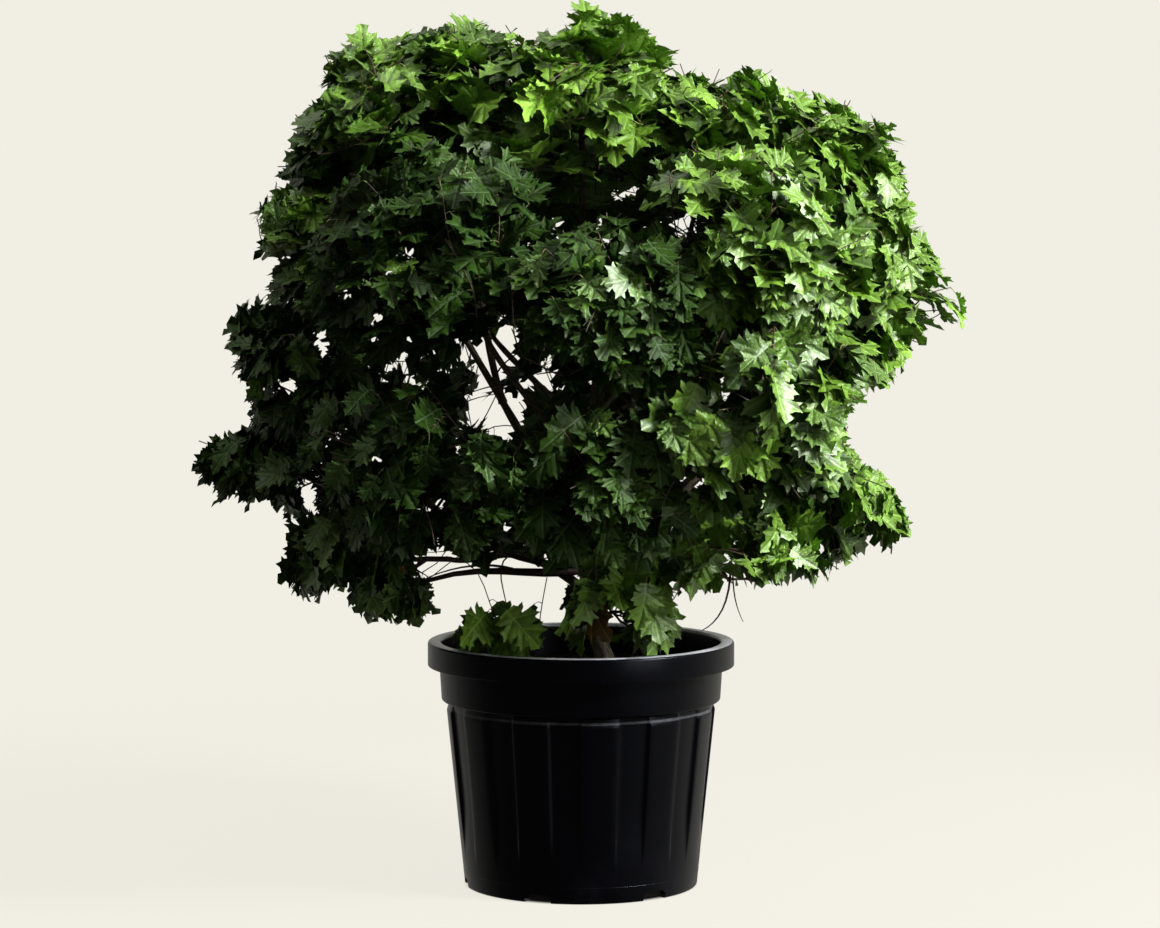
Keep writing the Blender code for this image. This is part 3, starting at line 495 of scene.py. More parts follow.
class PotSettings(bpy.types.PropertyGroup):
    height: metres("Height", "Height of the pot to the top of its rim", POT_TOP)
    rim_radius: metres("Rim radius", "Outer radius of the rim", RIM_RADIUS)
    rim_skirt: metres("Rim skirt", "Height of the hanging outer side of the rim", 0.039)
    rim_wall: metres("Skirt wall", "Wall thickness of the rim's skirt", 0.0036)
    rim_top_wall: metres("Rim top", "Thickness of the rim's flat top", 0.007)
    rim_rounding: metres("Rim rounding", "Radius of the rim's rounded outer edge", 0.0050)
    collar_top: metres("Collar top radius", "Radius of the collar under the rim", 0.2310)
    collar_foot: metres("Collar foot radius", "Radius of the collar's lower edge", 0.2275)
    collar_height: metres("Collar foot height", "Height of the collar's lower edge", 0.305)
    body_top: metres("Body top radius", "Radius of the ribs just under the collar", 0.2210)
    body_foot: metres("Foot radius", "Radius of the pot at its foot", 0.1900)
    wall: metres("Wall", "Wall thickness", 0.003)
    floor: metres("Floor", "Thickness of the pot's floor", 0.004)
    ribs: whole("Ribs", "Number of raised panels", 12, least=3)
    rib_span: angle("Rib width", "Angle that each raised panel spans", 15.0)
    rib_flank: angle("Rib flank", "Angle of the slope beside each panel", 1.6)
    flute_depth: metres("Flute depth", "Depth of the grooves between the panels", 0.0055)
    rib_foot: metres("Rib foot", "Height at which the panels start", 0.060)
    rib_full: metres("Full depth from", "Height from which the grooves have their full depth", 0.130)
    rib_shoulder: metres("Rib shoulder", "Height of the panels' sloping tops", 0.287)
    notches: whole("Drain notches", "Number of notches in the foot", 6)
    notch_width: metres("Notch width", "Width of a drain notch", 0.045)
    notch_height: metres("Notch height", "Height of a drain notch", 0.014)
    plastic: colour("Plastic", "Colour of the moulded plastic", (0.0005, 0.0005, 0.0010))
    dust: colour("Dust", "Colour of the dust on the plastic", (0.018, 0.018, 0.028))
    # Pale colour of the painted highlights along the rim's top and the panels' tops, laid on like worn edges
    painted_highlight: colour("Worn edges", "Colour of the worn edges of the rim and the panels", (0.78, 0.80, 0.88))
    gloss: share("Roughness", "Roughness of clean plastic", 0.21)


class SoilSettings(bpy.types.PropertyGroup):
    level: metres("Level", "Height of the soil's top", SOIL_TOP)
    clods: metres("Clods", "Height of the soil's unevenness", 0.0045)
    chips: whole("Number of chips", "Number of bark chips and crumbs on the soil", 520)
    chip_size: metres("Chip size", "Length of a usual bark chip", 0.011)
    earth: colour("Soil", "Colour of the moist soil", (0.016, 0.011, 0.008))
    chip: colour("Chips", "Colour of the bark chips", (0.045, 0.027, 0.015))


class BarkSettings(bpy.types.PropertyGroup):
    relief: metres("Relief", "Depth of the bark's cracks and plates", 0.00060)
    collar: share("Branch collar", "How much thicker a bough is where it leaves its parent", 0.35)
    shoots: whole("Bare shoots", "Bare side twigs on each bough", 4)
    # The trunk's plates are a far paler copy of the bark than the boughs': partly the trunk's own paler
    # bark, partly painted light on the trunk that the crown shades
    old: colour("Trunk bark", "Colour of the plates on the trunk", (0.640, 0.560, 0.400))
    # The boughs' darker plates are partly their own colour, partly painted shade under the crown
    pale: colour("Bough bark", "Colour of the plates on the boughs", (0.230, 0.180, 0.120))
    dark: colour("Dark bark", "Colour of the bark's cracks", (0.055, 0.042, 0.028))
    algae: colour("Green film", "Colour of the green film on old bark", (0.075, 0.085, 0.030))
    twig: colour("Twigs", "Colour of the young twigs", (0.040, 0.022, 0.013))


class LeafSettings(bpy.types.PropertyGroup):
    length: metres("Length", "Length of a leaf blade", 0.080)
    width: metres("Width", "Width of a leaf blade across its middle lobes", 0.071)
    thickness: metres("Thickness", "Thickness of a blade at its midrib", 0.0007)
    petiole: metres("Petiole", "Length of a leaf's stalk", 0.019)
    petiole_radius: metres("Petiole radius", "Radius of a leaf's stalk", 0.00075)
    spacing: metres("Spacing", "Distance between leaves along a twig", 0.0142)
    per_twig: whole("Leaves on a twig", "Most leaves on one twig", 9)
    twigs: whole("Twigs", "Finer twigs in each mass of foliage", 46)
    twig_radius: metres("Twig tip radius", "Radius of a twig at its tip", 0.0009)
    # Shade, deep, mid and bright are darker and lighter copies of one green: painted shade inside the crown
    # and to the left, painted light on the lit outside
    shade: colour("Shade leaves", "Colour of leaves deep in the crown", (0.0140, 0.0370, 0.0028))
    deep: colour("Deep leaves", "Colour of the darker leaves", (0.0240, 0.0590, 0.0045))
    mid: colour("Mid leaves", "Colour of most leaves", (0.0520, 0.1120, 0.0095))
    bright: colour("Bright leaves", "Colour of the sunlit leaves", (0.1000, 0.2000, 0.0150))
    # Young leaves are paler of their own. The most lit sprays, such as the low left sprig, also get this
    # colour as painted light shining through them
    young: colour("Young leaves", "Colour of the youngest leaves", (0.1550, 0.3000, 0.0260))
    brown: colour("Browned leaves", "Colour of single browned leaves", (0.1100, 0.0600, 0.0180))
    stalk: colour("Stalks", "Colour of the leaf stalks", (0.150, 0.190, 0.045))
    flush: colour("Stalk flush", "Colour of the red flush on the stalks", (0.130, 0.055, 0.025))


class StageSettings(bpy.types.PropertyGroup):
    paper: colour("Paper", "Colour of the floor and the background", (0.879, 0.855, 0.775))
    floor_radius: metres("Floor radius", "Radius of the floor", 7.0)
    room: colour("Room", "Colour of the light that the room throws on the plant", (0.99, 0.97, 0.87))
    key_power: watts("Key light", "Power of the key light", 450.0)
    fill_power: watts("Fill light", "Power of the fill light", 40.0)
    top_power: watts("Top light", "Power of the top light", 36.0)
    back: glow("Back glow", "Brightness of the paper behind the plant", 0.30)
    side: glow("Side glow", "Brightness of the room to the right", 0.28)
    front: glow("Front glow", "Brightness of the room in front", 0.105)
    above: glow("Top glow", "Brightness of the room above", 0.10)


# Shapes worked out as arrays

def unit(vectors):
    """Vectors divided by their own length."""
    return vectors / np.linalg.norm(vectors, axis=-1, keepdims=True)


def dot(a, b):
    return np.sum(a * b, axis=-1, keepdims=True)


def across(direction, hint):
    """The part of a hint that is square to a direction, at length 1."""
    flat = hint - direction * dot(hint, direction)
    short = np.linalg.norm(flat, axis=-1, keepdims=True) < 1e-4
    spare = np.cross(direction, np.array([1.0, 0.3, 0.0]))
    return unit(np.where(short, spare, flat))


def smooth(low, high, value):
    """Rises from 0 at low to 1 at high, level at both ends: 3 t^2 - 2 t^3."""
    t = np.clip((value - low) / (high - low), 0.0, 1.0)
    return t * t * (3.0 - 2.0 * t)


def bezier(controls, t):
    """Points of cubic Bezier curves: (1-t)^3 A + 3 (1-t)^2 t B + 3 (1-t) t^2 C + t^3 D."""
    s = 1.0 - t
    weights = np.stack([s ** 3, 3.0 * s * s * t, 3.0 * s * t * t, t ** 3], axis=-1)
    return weights @ controls


def bezier_slope(controls, t):
    """Directions of cubic Bezier curves: the derivative of the formula above."""
    s = 1.0 - t
    weights = np.stack([s * s, 2.0 * s * t, t * t], axis=-1)
    return unit(weights @ np.diff(controls, axis=-2))


def value_noise(points, seed):
    """Smooth noise from -1 to 1: each cell's eight corners have fixed random values, blended."""
    cell = np.floor(points).astype(np.int64)
    part = points - cell
    part = part * part * (3.0 - 2.0 * part)
    total = np.zeros(points.shape[:-1])
    for corner in np.ndindex(2, 2, 2):
        at = cell + np.array(corner)
        mixed = at[..., 0] * 73856093 ^ at[..., 1] * 19349663 ^ at[..., 2] * 83492791 ^ seed * 2654435761
        mixed = (mixed ^ (mixed >> 13)) * 1274126177 & 0x7FFFFFFF
        mixed = (mixed ^ (mixed >> 15)) * 668265263 & 0x7FFFFFFF
        weight = np.prod(np.where(np.array(corner) == 1, part, 1.0 - part), axis=-1)
        total += weight * (mixed / 2.0 ** 30 - 1.0)
    return total


def fractal_noise(points, seed, octaves=3):
    """Noise summed over octaves, each twice as fine and half as strong."""
    return sum(value_noise(points * 2.0 ** k, seed + k) * 0.5 ** k for k in range(octaves))


def grid_faces(rows, columns):
    """Quads between neighbouring rings of a closed grid, rows by columns."""
    row, column = np.meshgrid(np.arange(rows - 1), np.arange(columns), indexing="ij")
    after = (column + 1) % columns
    low = row * columns
    quads = np.stack([low + column, low + after, low + columns + after, low + columns + column], axis=-1)
    return quads.reshape(-1, 4)


def fan_faces(ring, centre, turned=False):
    """Triangles from a ring of points to one centre point."""
    after = np.roll(ring, -1)
    first, second = (after, ring) if turned else (ring, after)
    return np.stack([first, second, np.full(len(ring), centre)], axis=-1)


def closed_faces(rows, columns):
    """Faces of a grid of rings that is closed by two points after it, at its start and its end."""
    last = rows * columns
    ring = np.arange(columns)
    return [
        grid_faces(rows, columns),
        fan_faces(ring, last, turned=True),
        fan_faces(last - columns + ring, last + 1),
    ]


def equal_turns(count):
    """Angles of equal steps round a circle."""
    return np.arange(count) * math.tau / count


def spokes_round(tangents, side, sides):
    """Directions round each point of a path: cos a * side + sin a * the one square to both."""
    angles = equal_turns(sides)[:, None]
    other = np.cross(tangents, side)
    return np.cos(angles) * side[..., None, :] + np.sin(angles) * other[..., None, :]


def ring_points(angles, radii, z):
    """Points round the axis: (radius * cos a, radius * sin a, z)."""
    return np.stack(np.broadcast_arrays(np.cos(angles) * radii, np.sin(angles) * radii, z), axis=-1)


def tubes(paths, radii, sides):
    """Closed tubes along many paths with as many points each, as points and faces.

    Ring point = centre + radius * spoke. The side that the spokes turn from is the part of one
    hint for each path that is square to the path there.
    """
    count, steps = paths.shape[:2]
    tangents = unit(np.gradient(paths, axis=1))
    chord = unit(paths[:, -1] - paths[:, 0])
    side = across(tangents, across(chord, np.array([0.3, 0.5, 0.8]))[:, None])
    points = paths[:, :, None] + radii[:, :, None, None] * spokes_round(tangents, side, sides)
    starts = np.arange(count) * steps * sides
    walls = grid_faces(steps, sides)[None] + starts[:, None, None]
    ring = np.arange(sides)
    feet = starts[:, None] + ring[::-1]
    tops = starts[:, None] + (steps - 1) * sides + ring
    return points.reshape(-1, 3), [walls.reshape(-1, 4), feet, tops]


def join(shapes):
    """Several shapes, each points and face arrays, as one."""
    points = []
    faces = []
    first = 0
    for shape_points, shape_faces in shapes:
        points.append(shape_points)
        faces += [block + first for block in shape_faces]
        first += len(shape_points)
    return np.concatenate(points), faces


# Pieces

def new_mesh(name, points, faces, uv=None, grain=None):
    """A mesh from an array of points and a list of face arrays, with a UV place for each corner of
    the faces or a grain for each point.
    """
    mesh = bpy.data.meshes.new(name)
    corners = np.concatenate([block.ravel() for block in faces])
    totals = np.concatenate([np.full(len(block), block.shape[1]) for block in faces])
    starts = np.concatenate([[0], np.cumsum(totals)[:-1]])
    mesh.vertices.add(len(points))
    mesh.vertices.foreach_set("co", np.asarray(points, np.float32).ravel())
    mesh.loops.add(len(corners))
    mesh.loops.foreach_set("vertex_index", corners.astype(np.int32))
    mesh.polygons.add(len(totals))
    mesh.polygons.foreach_set("loop_start", starts.astype(np.int32))
    mesh.polygons.foreach_set("loop_total", totals.astype(np.int32))
    if uv is not None:
        layer = mesh.uv_layers.new(name="blade")
        layer.data.foreach_set("uv", np.asarray(uv, np.float32).ravel())
    if grain is not None:
        attribute = mesh.attributes.new("grain", "FLOAT_VECTOR", "POINT")
        attribute.data.foreach_set("vector", np.asarray(grain, np.float32).ravel())
    mesh.update(calc_edges=True)
    mesh.validate()
    return mesh


def add_piece(name, mesh, material, nodes=(), crease=None):
    """Puts a mesh into the scene as a piece of the plant: it rides on the body and stands for nodes.

    Edges that bend by more than the crease angle are drawn sharp.
    """
    mesh.shade_smooth()
    if crease is not None:
        mesh.set_sharp_from_angle(angle=crease)
    mesh.materials.clear()
    mesh.materials.append(material)
    piece = bpy.data.objects.new(name, mesh)
    bpy.context.scene.collection.objects.link(piece)
    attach(piece, BODY)
    if nodes:
        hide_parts(*nodes)


# Materials

class Wire:
    """A number in a material. Arithmetic on it adds Math nodes."""

    def __init__(self, graph, socket):
        self.graph = graph
        self.socket = socket

    def __add__(self, other):
        return self.graph.math("ADD", self, other)

    def __radd__(self, other):
        return self.graph.math("ADD", other, self)

    def __sub__(self, other):
        return self.graph.math("SUBTRACT", self, other)

    def __rsub__(self, other):
        return self.graph.math("SUBTRACT", other, self)

    def __mul__(self, other):
        return self.graph.math("MULTIPLY", self, other)

    def __rmul__(self, other):
        return self.graph.math("MULTIPLY", other, self)

    def __pow__(self, other):
        return self.graph.math("POWER", self, other)

    def __gt__(self, other):
        return self.graph.math("GREATER_THAN", self, other)

    def __lt__(self, other):
        return self.graph.math("LESS_THAN", self, other)

    def __abs__(self):
        return self.graph.math("ABSOLUTE", self)

    def fade(self, low, high):
        """Rises smoothly from 0 at low to 1 at high."""
        node = self.graph.node("ShaderNodeMapRange", {"interpolation_type": "SMOOTHSTEP"},
                               {"Value": self, "From Min": low, "From Max": high})
        return Wire(self.graph, node.outputs["Result"])


class Graph:
    """The nodes of one material or of the world."""

    def __init__(self, owner):
        owner.use_nodes = True
        self.tree = owner.node_tree

    def node(self, kind, settings=None, values=None):
        """Adds a node: its settings first, then the values or links of its sockets."""
        made = self.tree.nodes.new(kind)
        for key, value in (settings or {}).items():
            setattr(made, key, value)
        for key, value in (values or {}).items():
            self.feed(made.inputs[key], value)
        return made

    def feed(self, socket, value):
        """Links a wire or a socket to a socket, or sets the socket's own value."""
        if isinstance(value, Wire):
            value = value.socket
        if isinstance(value, bpy.types.NodeSocket):
            self.tree.links.new(value, socket)
        elif socket.type == "RGBA":
            socket.default_value = (*value, 1.0)
        else:
            socket.default_value = value

    def math(self, operation, *values):
        """The result of one Math node."""
        node = self.node("ShaderNodeMath", {"operation": operation}, dict(enumerate(values)))
        return Wire(self, node.outputs[0])

    def mix(self, factor, first, second):
        """The first colour where the factor is 0, and the second where it is 1."""
        node = self.node("ShaderNodeMix", {"data_type": "RGBA"})
        colours = [socket for socket in node.inputs if socket.type == "RGBA"]
        self.feed(node.inputs[0], factor)
        self.feed(colours[0], first)
        self.feed(colours[1], second)
        return [socket for socket in node.outputs if socket.type == "RGBA"][0]

    def stretched(self, place, scale):
        """A place with its axes scaled."""
        node = self.node("ShaderNodeVectorMath", {"operation": "MULTIPLY"}, {0: place, 1: scale})
        return node.outputs[0]

    def noise(self, place, scale, detail=3.0, roughness=0.5):
        """Soft random values from 0 to 1 that average 0.5."""
        node = self.node("ShaderNodeTexNoise", None, {
            "Vector": place, "Scale": scale, "Detail": detail, "Roughness": roughness})
        return Wire(self, node.outputs[0])

    def cells(self, place, scale):
        """Distance to the nearest of many scattered points."""
        node = self.node("ShaderNodeTexVoronoi", None, {"Vector": place, "Scale": scale})
        return Wire(self, node.outputs["Distance"])

    def here(self):
        """Object coordinates."""
        return self.node("ShaderNodeTexCoord").outputs["Object"]

    def parts(self, place):
        """The three numbers of a vector."""
        node = self.node("ShaderNodeSeparateXYZ", None, {0: place})
        return [Wire(self, socket) for socket in node.outputs]

    def bump(self, height, distance):
        """The normal of a surface raised by a height from 0 to 1, times a distance."""
        node = self.node("ShaderNodeBump", None, {"Height": height, "Distance": distance})
        return node.outputs["Normal"]


def scaled(tint, share_kept, lift=0.0):
    """A colour made darker or lighter: each channel times a share, plus a lift, up to 1."""
    return tuple(min(1.0, share_kept * channel + lift) for channel in tint)


def surface(name, **values):
    """A new material whose Principled shader takes the given values, and its graph."""
    material = bpy.data.materials.new(name)
    graph = Graph(material)
    graph.shader = graph.tree.nodes["Principled BSDF"]
    finish_surface(graph, **values)
    return material, graph


def finish_surface(graph, **values):
    """Feeds the shader's sockets, named in words joined by underscores."""
    for key, value in values.items():
        graph.feed(graph.shader.inputs[key.replace("_", " ").title().replace("Ior", "IOR")], value)


def plastic_material(pot):
    """Black moulded plastic: fine grain, dust on ledges and near the foot, scuffs, and pale painted
    highlights along the rim's top and the panels' tops.
    """
    material, graph = surface("black_plastic", metallic=0.0, ior=1.25, specular_tint=(0.78, 0.83, 1.0))
    here = graph.here()
    x, y, z = graph.parts(here)
    away = (x * x + y * y) ** 0.5
    cloud = graph.noise(here, 9.0, 4.0, 0.6)
    streaks = graph.noise(graph.stretched(here, (1.0, 1.0, 0.12)), 60.0, 3.0)
    grain = graph.noise(here, 900.0, 2.0)
    scuffs = graph.noise(graph.stretched(here, (1.0, 1.0, 0.35)), 140.0, 4.0, 0.7).fade(0.66, 0.74)
    low = 1.0 - z.fade(0.0, 0.16)
    foot = pot.collar_height
    skirt = pot.height - pot.rim_skirt
    collar = z.fade(foot - 0.005, foot + 0.005) * (1.0 - z.fade(skirt - 0.009, skirt + 0.001))
    lip = pot.collar_top - pot.wall
    # Painted highlight along the rim's flat top and inner edge, where light catches the rim, laid on like
    # wear
    painted_highlit = z.fade(pot.height - 0.006, pot.height - 0.002) * (1.0 - away.fade(lip + 0.0175, lip + 0.0205))
    top = pot.rib_shoulder + 0.006
    # Painted highlight along the sloping tops of the panels
    painted_highlit_ribs = z.fade(top - 0.003, top - 0.001) * (1.0 - z.fade(top + 0.001, top + 0.003)) * streaks
    film = cloud.fade(0.40, 0.75) * (0.01 + 0.22 * low + 0.03 * collar)
    dust = film * (0.5 + streaks) + scuffs * (0.05 + 0.42 * low)
    plain = graph.mix(dust.fade(0.0, 1.0), pot.plastic, pot.dust)
    finish_surface(
        graph,
        # The pale painted highlights are mixed over the plastic and its dust
        base_color=graph.mix(painted_highlit * (0.50 + streaks) + 0.11 * painted_highlit_ribs, plain, pot.painted_highlight),
        roughness=pot.gloss + 0.12 * cloud + 0.35 * dust - 0.12 * painted_highlit,
        normal=graph.bump(grain * 0.3 + streaks * 0.4 + scuffs * 0.3, 0.00025),
    )
    return material


def earth_material(name, base, fineness):
    """Moist soil or bark: dark and pale crumbs, rough all over."""
    material, graph = surface(name, metallic=0.0)
    here = graph.here()
    crumbs = graph.noise(here, fineness, 5.0, 0.65)
    fibres = graph.noise(graph.stretched(here, (1.0, 0.3, 1.0)), fineness * 4.0, 3.0)
    tint = graph.mix(crumbs.fade(0.35, 0.68), scaled(base, 0.35), base)
    finish_surface(
        graph,
        base_color=graph.mix(fibres.fade(0.58, 0.80), tint, scaled(base, 2.6)),
        roughness=0.80 + 0.18 * crumbs,
        normal=graph.bump(crumbs + fibres * 0.5, 0.0015),
    )
    return material


def bark_material(name, bark, pale):
    """Grey-brown bark: pale plates, dark cracks along the limb, a green film and breathing pores."""
    material, graph = surface(name, metallic=0.0)
    grain = graph.node("ShaderNodeAttribute", {"attribute_name": "grain"}).outputs["Vector"]
    long_grain = graph.stretched(grain, GRAIN_STRETCH)
    plates = graph.noise(long_grain, PLATES_IN_A_METRE, 5.0, 0.6)
    cracks = graph.noise(long_grain, CRACKS_IN_A_METRE, 3.0, 0.5)
    film = graph.noise(grain, 45.0, 3.0)
    pores = 1.0 - graph.cells(graph.stretched(grain, (1.0, 1.0, 2.2)), 260.0).fade(0.10, 0.24)
    crack = 1.0 - abs(cracks - 0.5).fade(0.010, 0.060)
    base = graph.mix(plates.fade(0.30, 0.72), scaled(pale, 0.55), pale)
    base = graph.mix(film.fade(0.48, 0.72) * 0.65, base, bark.algae)
    base = graph.mix(pores * 0.5, base, scaled(pale, 1.6))
    finish_surface(
        graph,
        base_color=graph.mix(crack * 0.75, base, bark.dark),
        roughness=0.62 + 0.30 * plates,
        normal=graph.bump(plates * 0.5 + pores * 0.25 - crack * 0.8, 0.0006),
    )
    return material


def twig_material(bark):
    """Thin red-brown bark with paler patches."""
    material, graph = surface("twig_bark", metallic=0.0)
    here = graph.here()
    patches = graph.noise(here, 55.0, 4.0)
    fine = graph.noise(here, 700.0, 2.0)
    finish_surface(
        graph,
        base_color=graph.mix(patches.fade(0.45, 0.75), bark.twig, scaled(bark.twig, 2.4)),
        roughness=0.45 + 0.30 * fine,
        normal=graph.bump(fine, 0.0004),
    )
    return material


def leaf_veins(graph, across_half, along):
    """The midrib and the side veins as lines that fade at their edges, and the swelling between them.

    There is one side vein to each lobe. The distance from it is that of a point from the line
    through its foot and its lobe's tip, and beyond the tip it isn't drawn.
    """
    veins = 1.0 - across_half.fade(0.006, 0.028)
    nearest = across_half * 1.0
    for foot, tip_across, tip_along in LEAF_VEINS:
        rise = tip_along - foot
        length = math.hypot(tip_across, rise)
        aside = abs(across_half * (rise / length) - (along - foot) * (tip_across / length))
        onward = across_half * (tip_across / length) + (along - foot) * (rise / length)
        within = (onward > 0.0) * (onward < length)
        veins = graph.math("MAXIMUM", veins, (1.0 - aside.fade(0.004, 0.018)) * within * 0.75)
        nearest = graph.math("MINIMUM", nearest, aside)
    return veins, nearest.fade(0.0, 0.09)


def leaf_material(name, tint, gloss, coat, sheen):
    """A glossy leaf: pale veins, a mottled green blade that swells between them, a duller underside."""
    material, graph = surface(name, metallic=0.0, coat_roughness=LEAF_WAX, specular_ior_level=sheen,
                              specular_tint=LEAF_SHEEN_TINT)
    place = graph.node("ShaderNodeUVMap", {"uv_map": "blade"}).outputs["UV"]
    u, along, _ = graph.parts(place)
    under = u > 1.5
    across_half = abs(u - 0.5 - UNDERSIDE * under)
    veins, swelling = leaf_veins(graph, across_half, along)
    here = graph.here()
    mottle = graph.noise(here, 38.0, 3.0)
    quilt = graph.noise(place, 12.0, 3.0)
    blade = graph.mix(mottle.fade(0.30, 0.70), scaled(tint, 0.62), scaled(tint, 1.15))
    blade = graph.mix(under, blade, scaled(tint, 1.5, 0.003))
    finish_surface(
        graph,
        base_color=graph.mix(veins * 0.55, blade, scaled(tint, 1.8, 0.05)),
        roughness=gloss + 0.10 * quilt + 0.22 * under,
        coat_weight=coat * (1.0 - under),
        normal=graph.bump(quilt * 0.7 + swelling * 0.6, 0.0042),
    )
    return material


def stalk_material(tint, flushed):
    """A leaf stalk: yellow-green, flushed red in places."""
    material, graph = surface("leaf_stalk", metallic=0.0)
    here = graph.here()
    flush = graph.noise(here, 30.0, 3.0)
    fine = graph.noise(here, 500.0, 2.0)
    finish_surface(
        graph,
        base_color=graph.mix(flush.fade(0.45, 0.70), tint, flushed),
        roughness=0.36 + 0.15 * fine,
        normal=graph.bump(fine, 0.0002),
    )
    return material


# Pot

def body_radius(pot, z):
    """Outer radius of the raised panels at a height, along a straight taper."""
    return pot.body_foot + (pot.body_top - pot.body_foot) * z / pot.collar_height


def pot_corners(pot):
    """Corners of the wall's section: radius, height, groove depth and rounding, outside then inside.

    A fine raised line runs round the foot below the panels.
    """
    flute = pot.flute_depth
    shoulder = pot.collar_height - SHOULDER_DROP
    skirt = pot.height - pot.rim_skirt
    under_rim = pot.height - pot.rim_top_wall
    inner_collar = pot.collar_foot - pot.wall
    inner_top = pot.collar_top - pot.wall
    bead = FOOT_LINE
    line = FOOT_LINE_HEIGHT
    return np.array([
        (pot.body_foot - 0.0200, 0.0, 0.0, 0.001),
        (pot.body_foot, 0.0, 0.0, 0.0035),
        (body_radius(pot, line), line, 0.0, 0.0004),
        (body_radius(pot, line) + bead, line + bead, 0.0, 0.0004),
        (body_radius(pot, line) + bead, line + 3.0 * bead, 0.0, 0.0004),
        (body_radius(pot, line), line + 4.0 * bead, 0.0, 0.0004),
        (body_radius(pot, pot.rib_foot), pot.rib_foot, 0.0, 0.030),
        (body_radius(pot, pot.rib_full), pot.rib_full, flute, 0.030),
        (body_radius(pot, pot.rib_shoulder), pot.rib_shoulder, flute, 0.0016),
        (body_radius(pot, shoulder) - flute, shoulder, 0.0, 0.0012),
        (pot.collar_foot, pot.collar_height, 0.0, 0.0022),
        (pot.collar_top, skirt, 0.0, 0.001),
        (pot.collar_top, under_rim, 0.0, 0.001),
        (pot.rim_radius - pot.rim_wall, under_rim, 0.0, 0.001),
        (pot.rim_radius - pot.rim_wall, skirt, 0.0, 0.0008),
        (pot.rim_radius, skirt, 0.0, 0.0012),
        (pot.rim_radius, pot.height, 0.0, pot.rim_rounding),
        (inner_top, pot.height, 0.0, 0.0040),
        (inner_collar, pot.collar_height + SHOULDER_DROP, 0.0, 0.003),
        (body_radius(pot, shoulder) - flute - pot.wall, shoulder - SHOULDER_DROP, 0.0, 0.003),
        (pot.body_foot - flute - pot.wall, pot.floor, 0.0, 0.004),
        (pot.body_foot - 0.0300, pot.floor, 0.0, 0.001),
    ])


def rounded(corners, steps):
    """A section with each corner turned into a curve.

    A corner P becomes (1-t)^2 A + 2 (1-t) t P + t^2 B, where A and B lie on the lines to the
    corners before and after, its rounding away but never past 0.45 of the line.
    """
    places = corners[:, :3]
    middle = places[1:-1]
    ends = []
    for other in (places[:-2], places[2:]):
        line = other - middle
        length = np.linalg.norm(line[:, :2], axis=1)
        part = np.minimum(corners[1:-1, 3] / length, 0.45)
        ends.append(middle + line * part[:, None])
    t = np.linspace(0.0, 1.0, steps)[None, :, None]
    arcs = (1 - t) ** 2 * ends[0][:, None] + 2 * (1 - t) * t * middle[:, None] + t ** 2 * ends[1][:, None]
    return np.concatenate([places[:1], arcs.reshape(-1, 3), places[-1:]])


def pot_columns(pot):
    """Angles round the pot, close together on the panels' flanks, and the groove's share at each."""
    module = math.tau / pot.ribs
    half = 0.5 * pot.rib_span
    flank = pot.rib_flank * np.array([0.15, 0.3, 0.5, 0.7, 0.85])
    rise_start = half + pot.rib_flank
    offsets = np.concatenate([
        np.linspace(-half, half, 7),
        half + flank,
        np.linspace(rise_start, module - rise_start, 7),
        module - half - flank[::-1],
    ])
    groove = smooth(half, half + pot.rib_flank, np.minimum(np.abs(offsets), module - offsets))
    start = (-0.5 * math.pi + RIB_PHASE * module) + np.arange(pot.ribs) * module
    return (start[:, None] + offsets).ravel(), np.tile(groove, pot.ribs)


def notch_blocks(pot):
    """Blocks with bevelled tops, one for each notch, set round the foot."""
    half = 0.5 * pot.notch_width
    corner = NOTCH_CORNER
    top = pot.notch_height
    levels = np.array([(-corner, half), (top - corner, half), (top, half - corner)])
    blocks = []
    for k in range(pot.notches):
        turn = NOTCH_TURN - 0.5 * math.pi + k * math.tau / pot.notches
        spoke = np.array([math.cos(turn), math.sin(turn), 0.0])
        side = np.cross(UP, spoke)
        corners = np.array([(-1.0, -1.0), (1.0, -1.0), (1.0, 1.0), (-1.0, 1.0)])
        rings = (spoke * pot.body_foot + corners[None, :, :1] * spoke * NOTCH_DEPTH
                 + corners[None, :, 1:] * side * levels[:, None, 1:] + UP * levels[:, None, :1])
        faces = [grid_faces(3, 4), np.array([[3, 2, 1, 0]]), np.array([[8, 9, 10, 11]])]
        blocks.append((rings.reshape(-1, 3), faces))
    return join(blocks)


def build_pot(pot):
    """The pot: its rounded section turned round the axis, grooved between the panels, and notched.

    Radius = section radius - groove depth * groove share, with both ends closed at the axis.
    """
    angles, groove = pot_columns(pot)
    section = rounded(pot_corners(pot), CORNER_STEPS)
    radii = section[:, :1] - section[:, 2:] * groove
    wall = ring_points(angles, radii, section[:, 1:2])
    points = np.concatenate([wall.reshape(-1, 3), [(0.0, 0.0, 0.0)], [(0.0, 0.0, pot.floor)]])
    shell_mesh = new_mesh("pot_shell", points, closed_faces(*radii.shape))
    shell = bpy.data.objects.new("pot_shell_uncut", shell_mesh)
    cutter = bpy.data.objects.new("notch_cutter", new_mesh("notch_cutter", *notch_blocks(pot)))
    for item in (shell, cutter):
        bpy.context.scene.collection.objects.link(item)
    cut = shell.modifiers.new("notches", "BOOLEAN")
    cut.operation = "DIFFERENCE"
    cut.object = cutter
    bpy.context.view_layer.update()
    mesh = bpy.data.meshes.new_from_object(shell.evaluated_get(bpy.context.evaluated_depsgraph_get()))
    for item in (shell, cutter):
        bpy.data.objects.remove(item, do_unlink=True)
    mesh.name = "pot_shell"
    add_piece("pot_shell", mesh, plastic_material(pot), ["pot"], crease=POT_CREASE)


# Soil

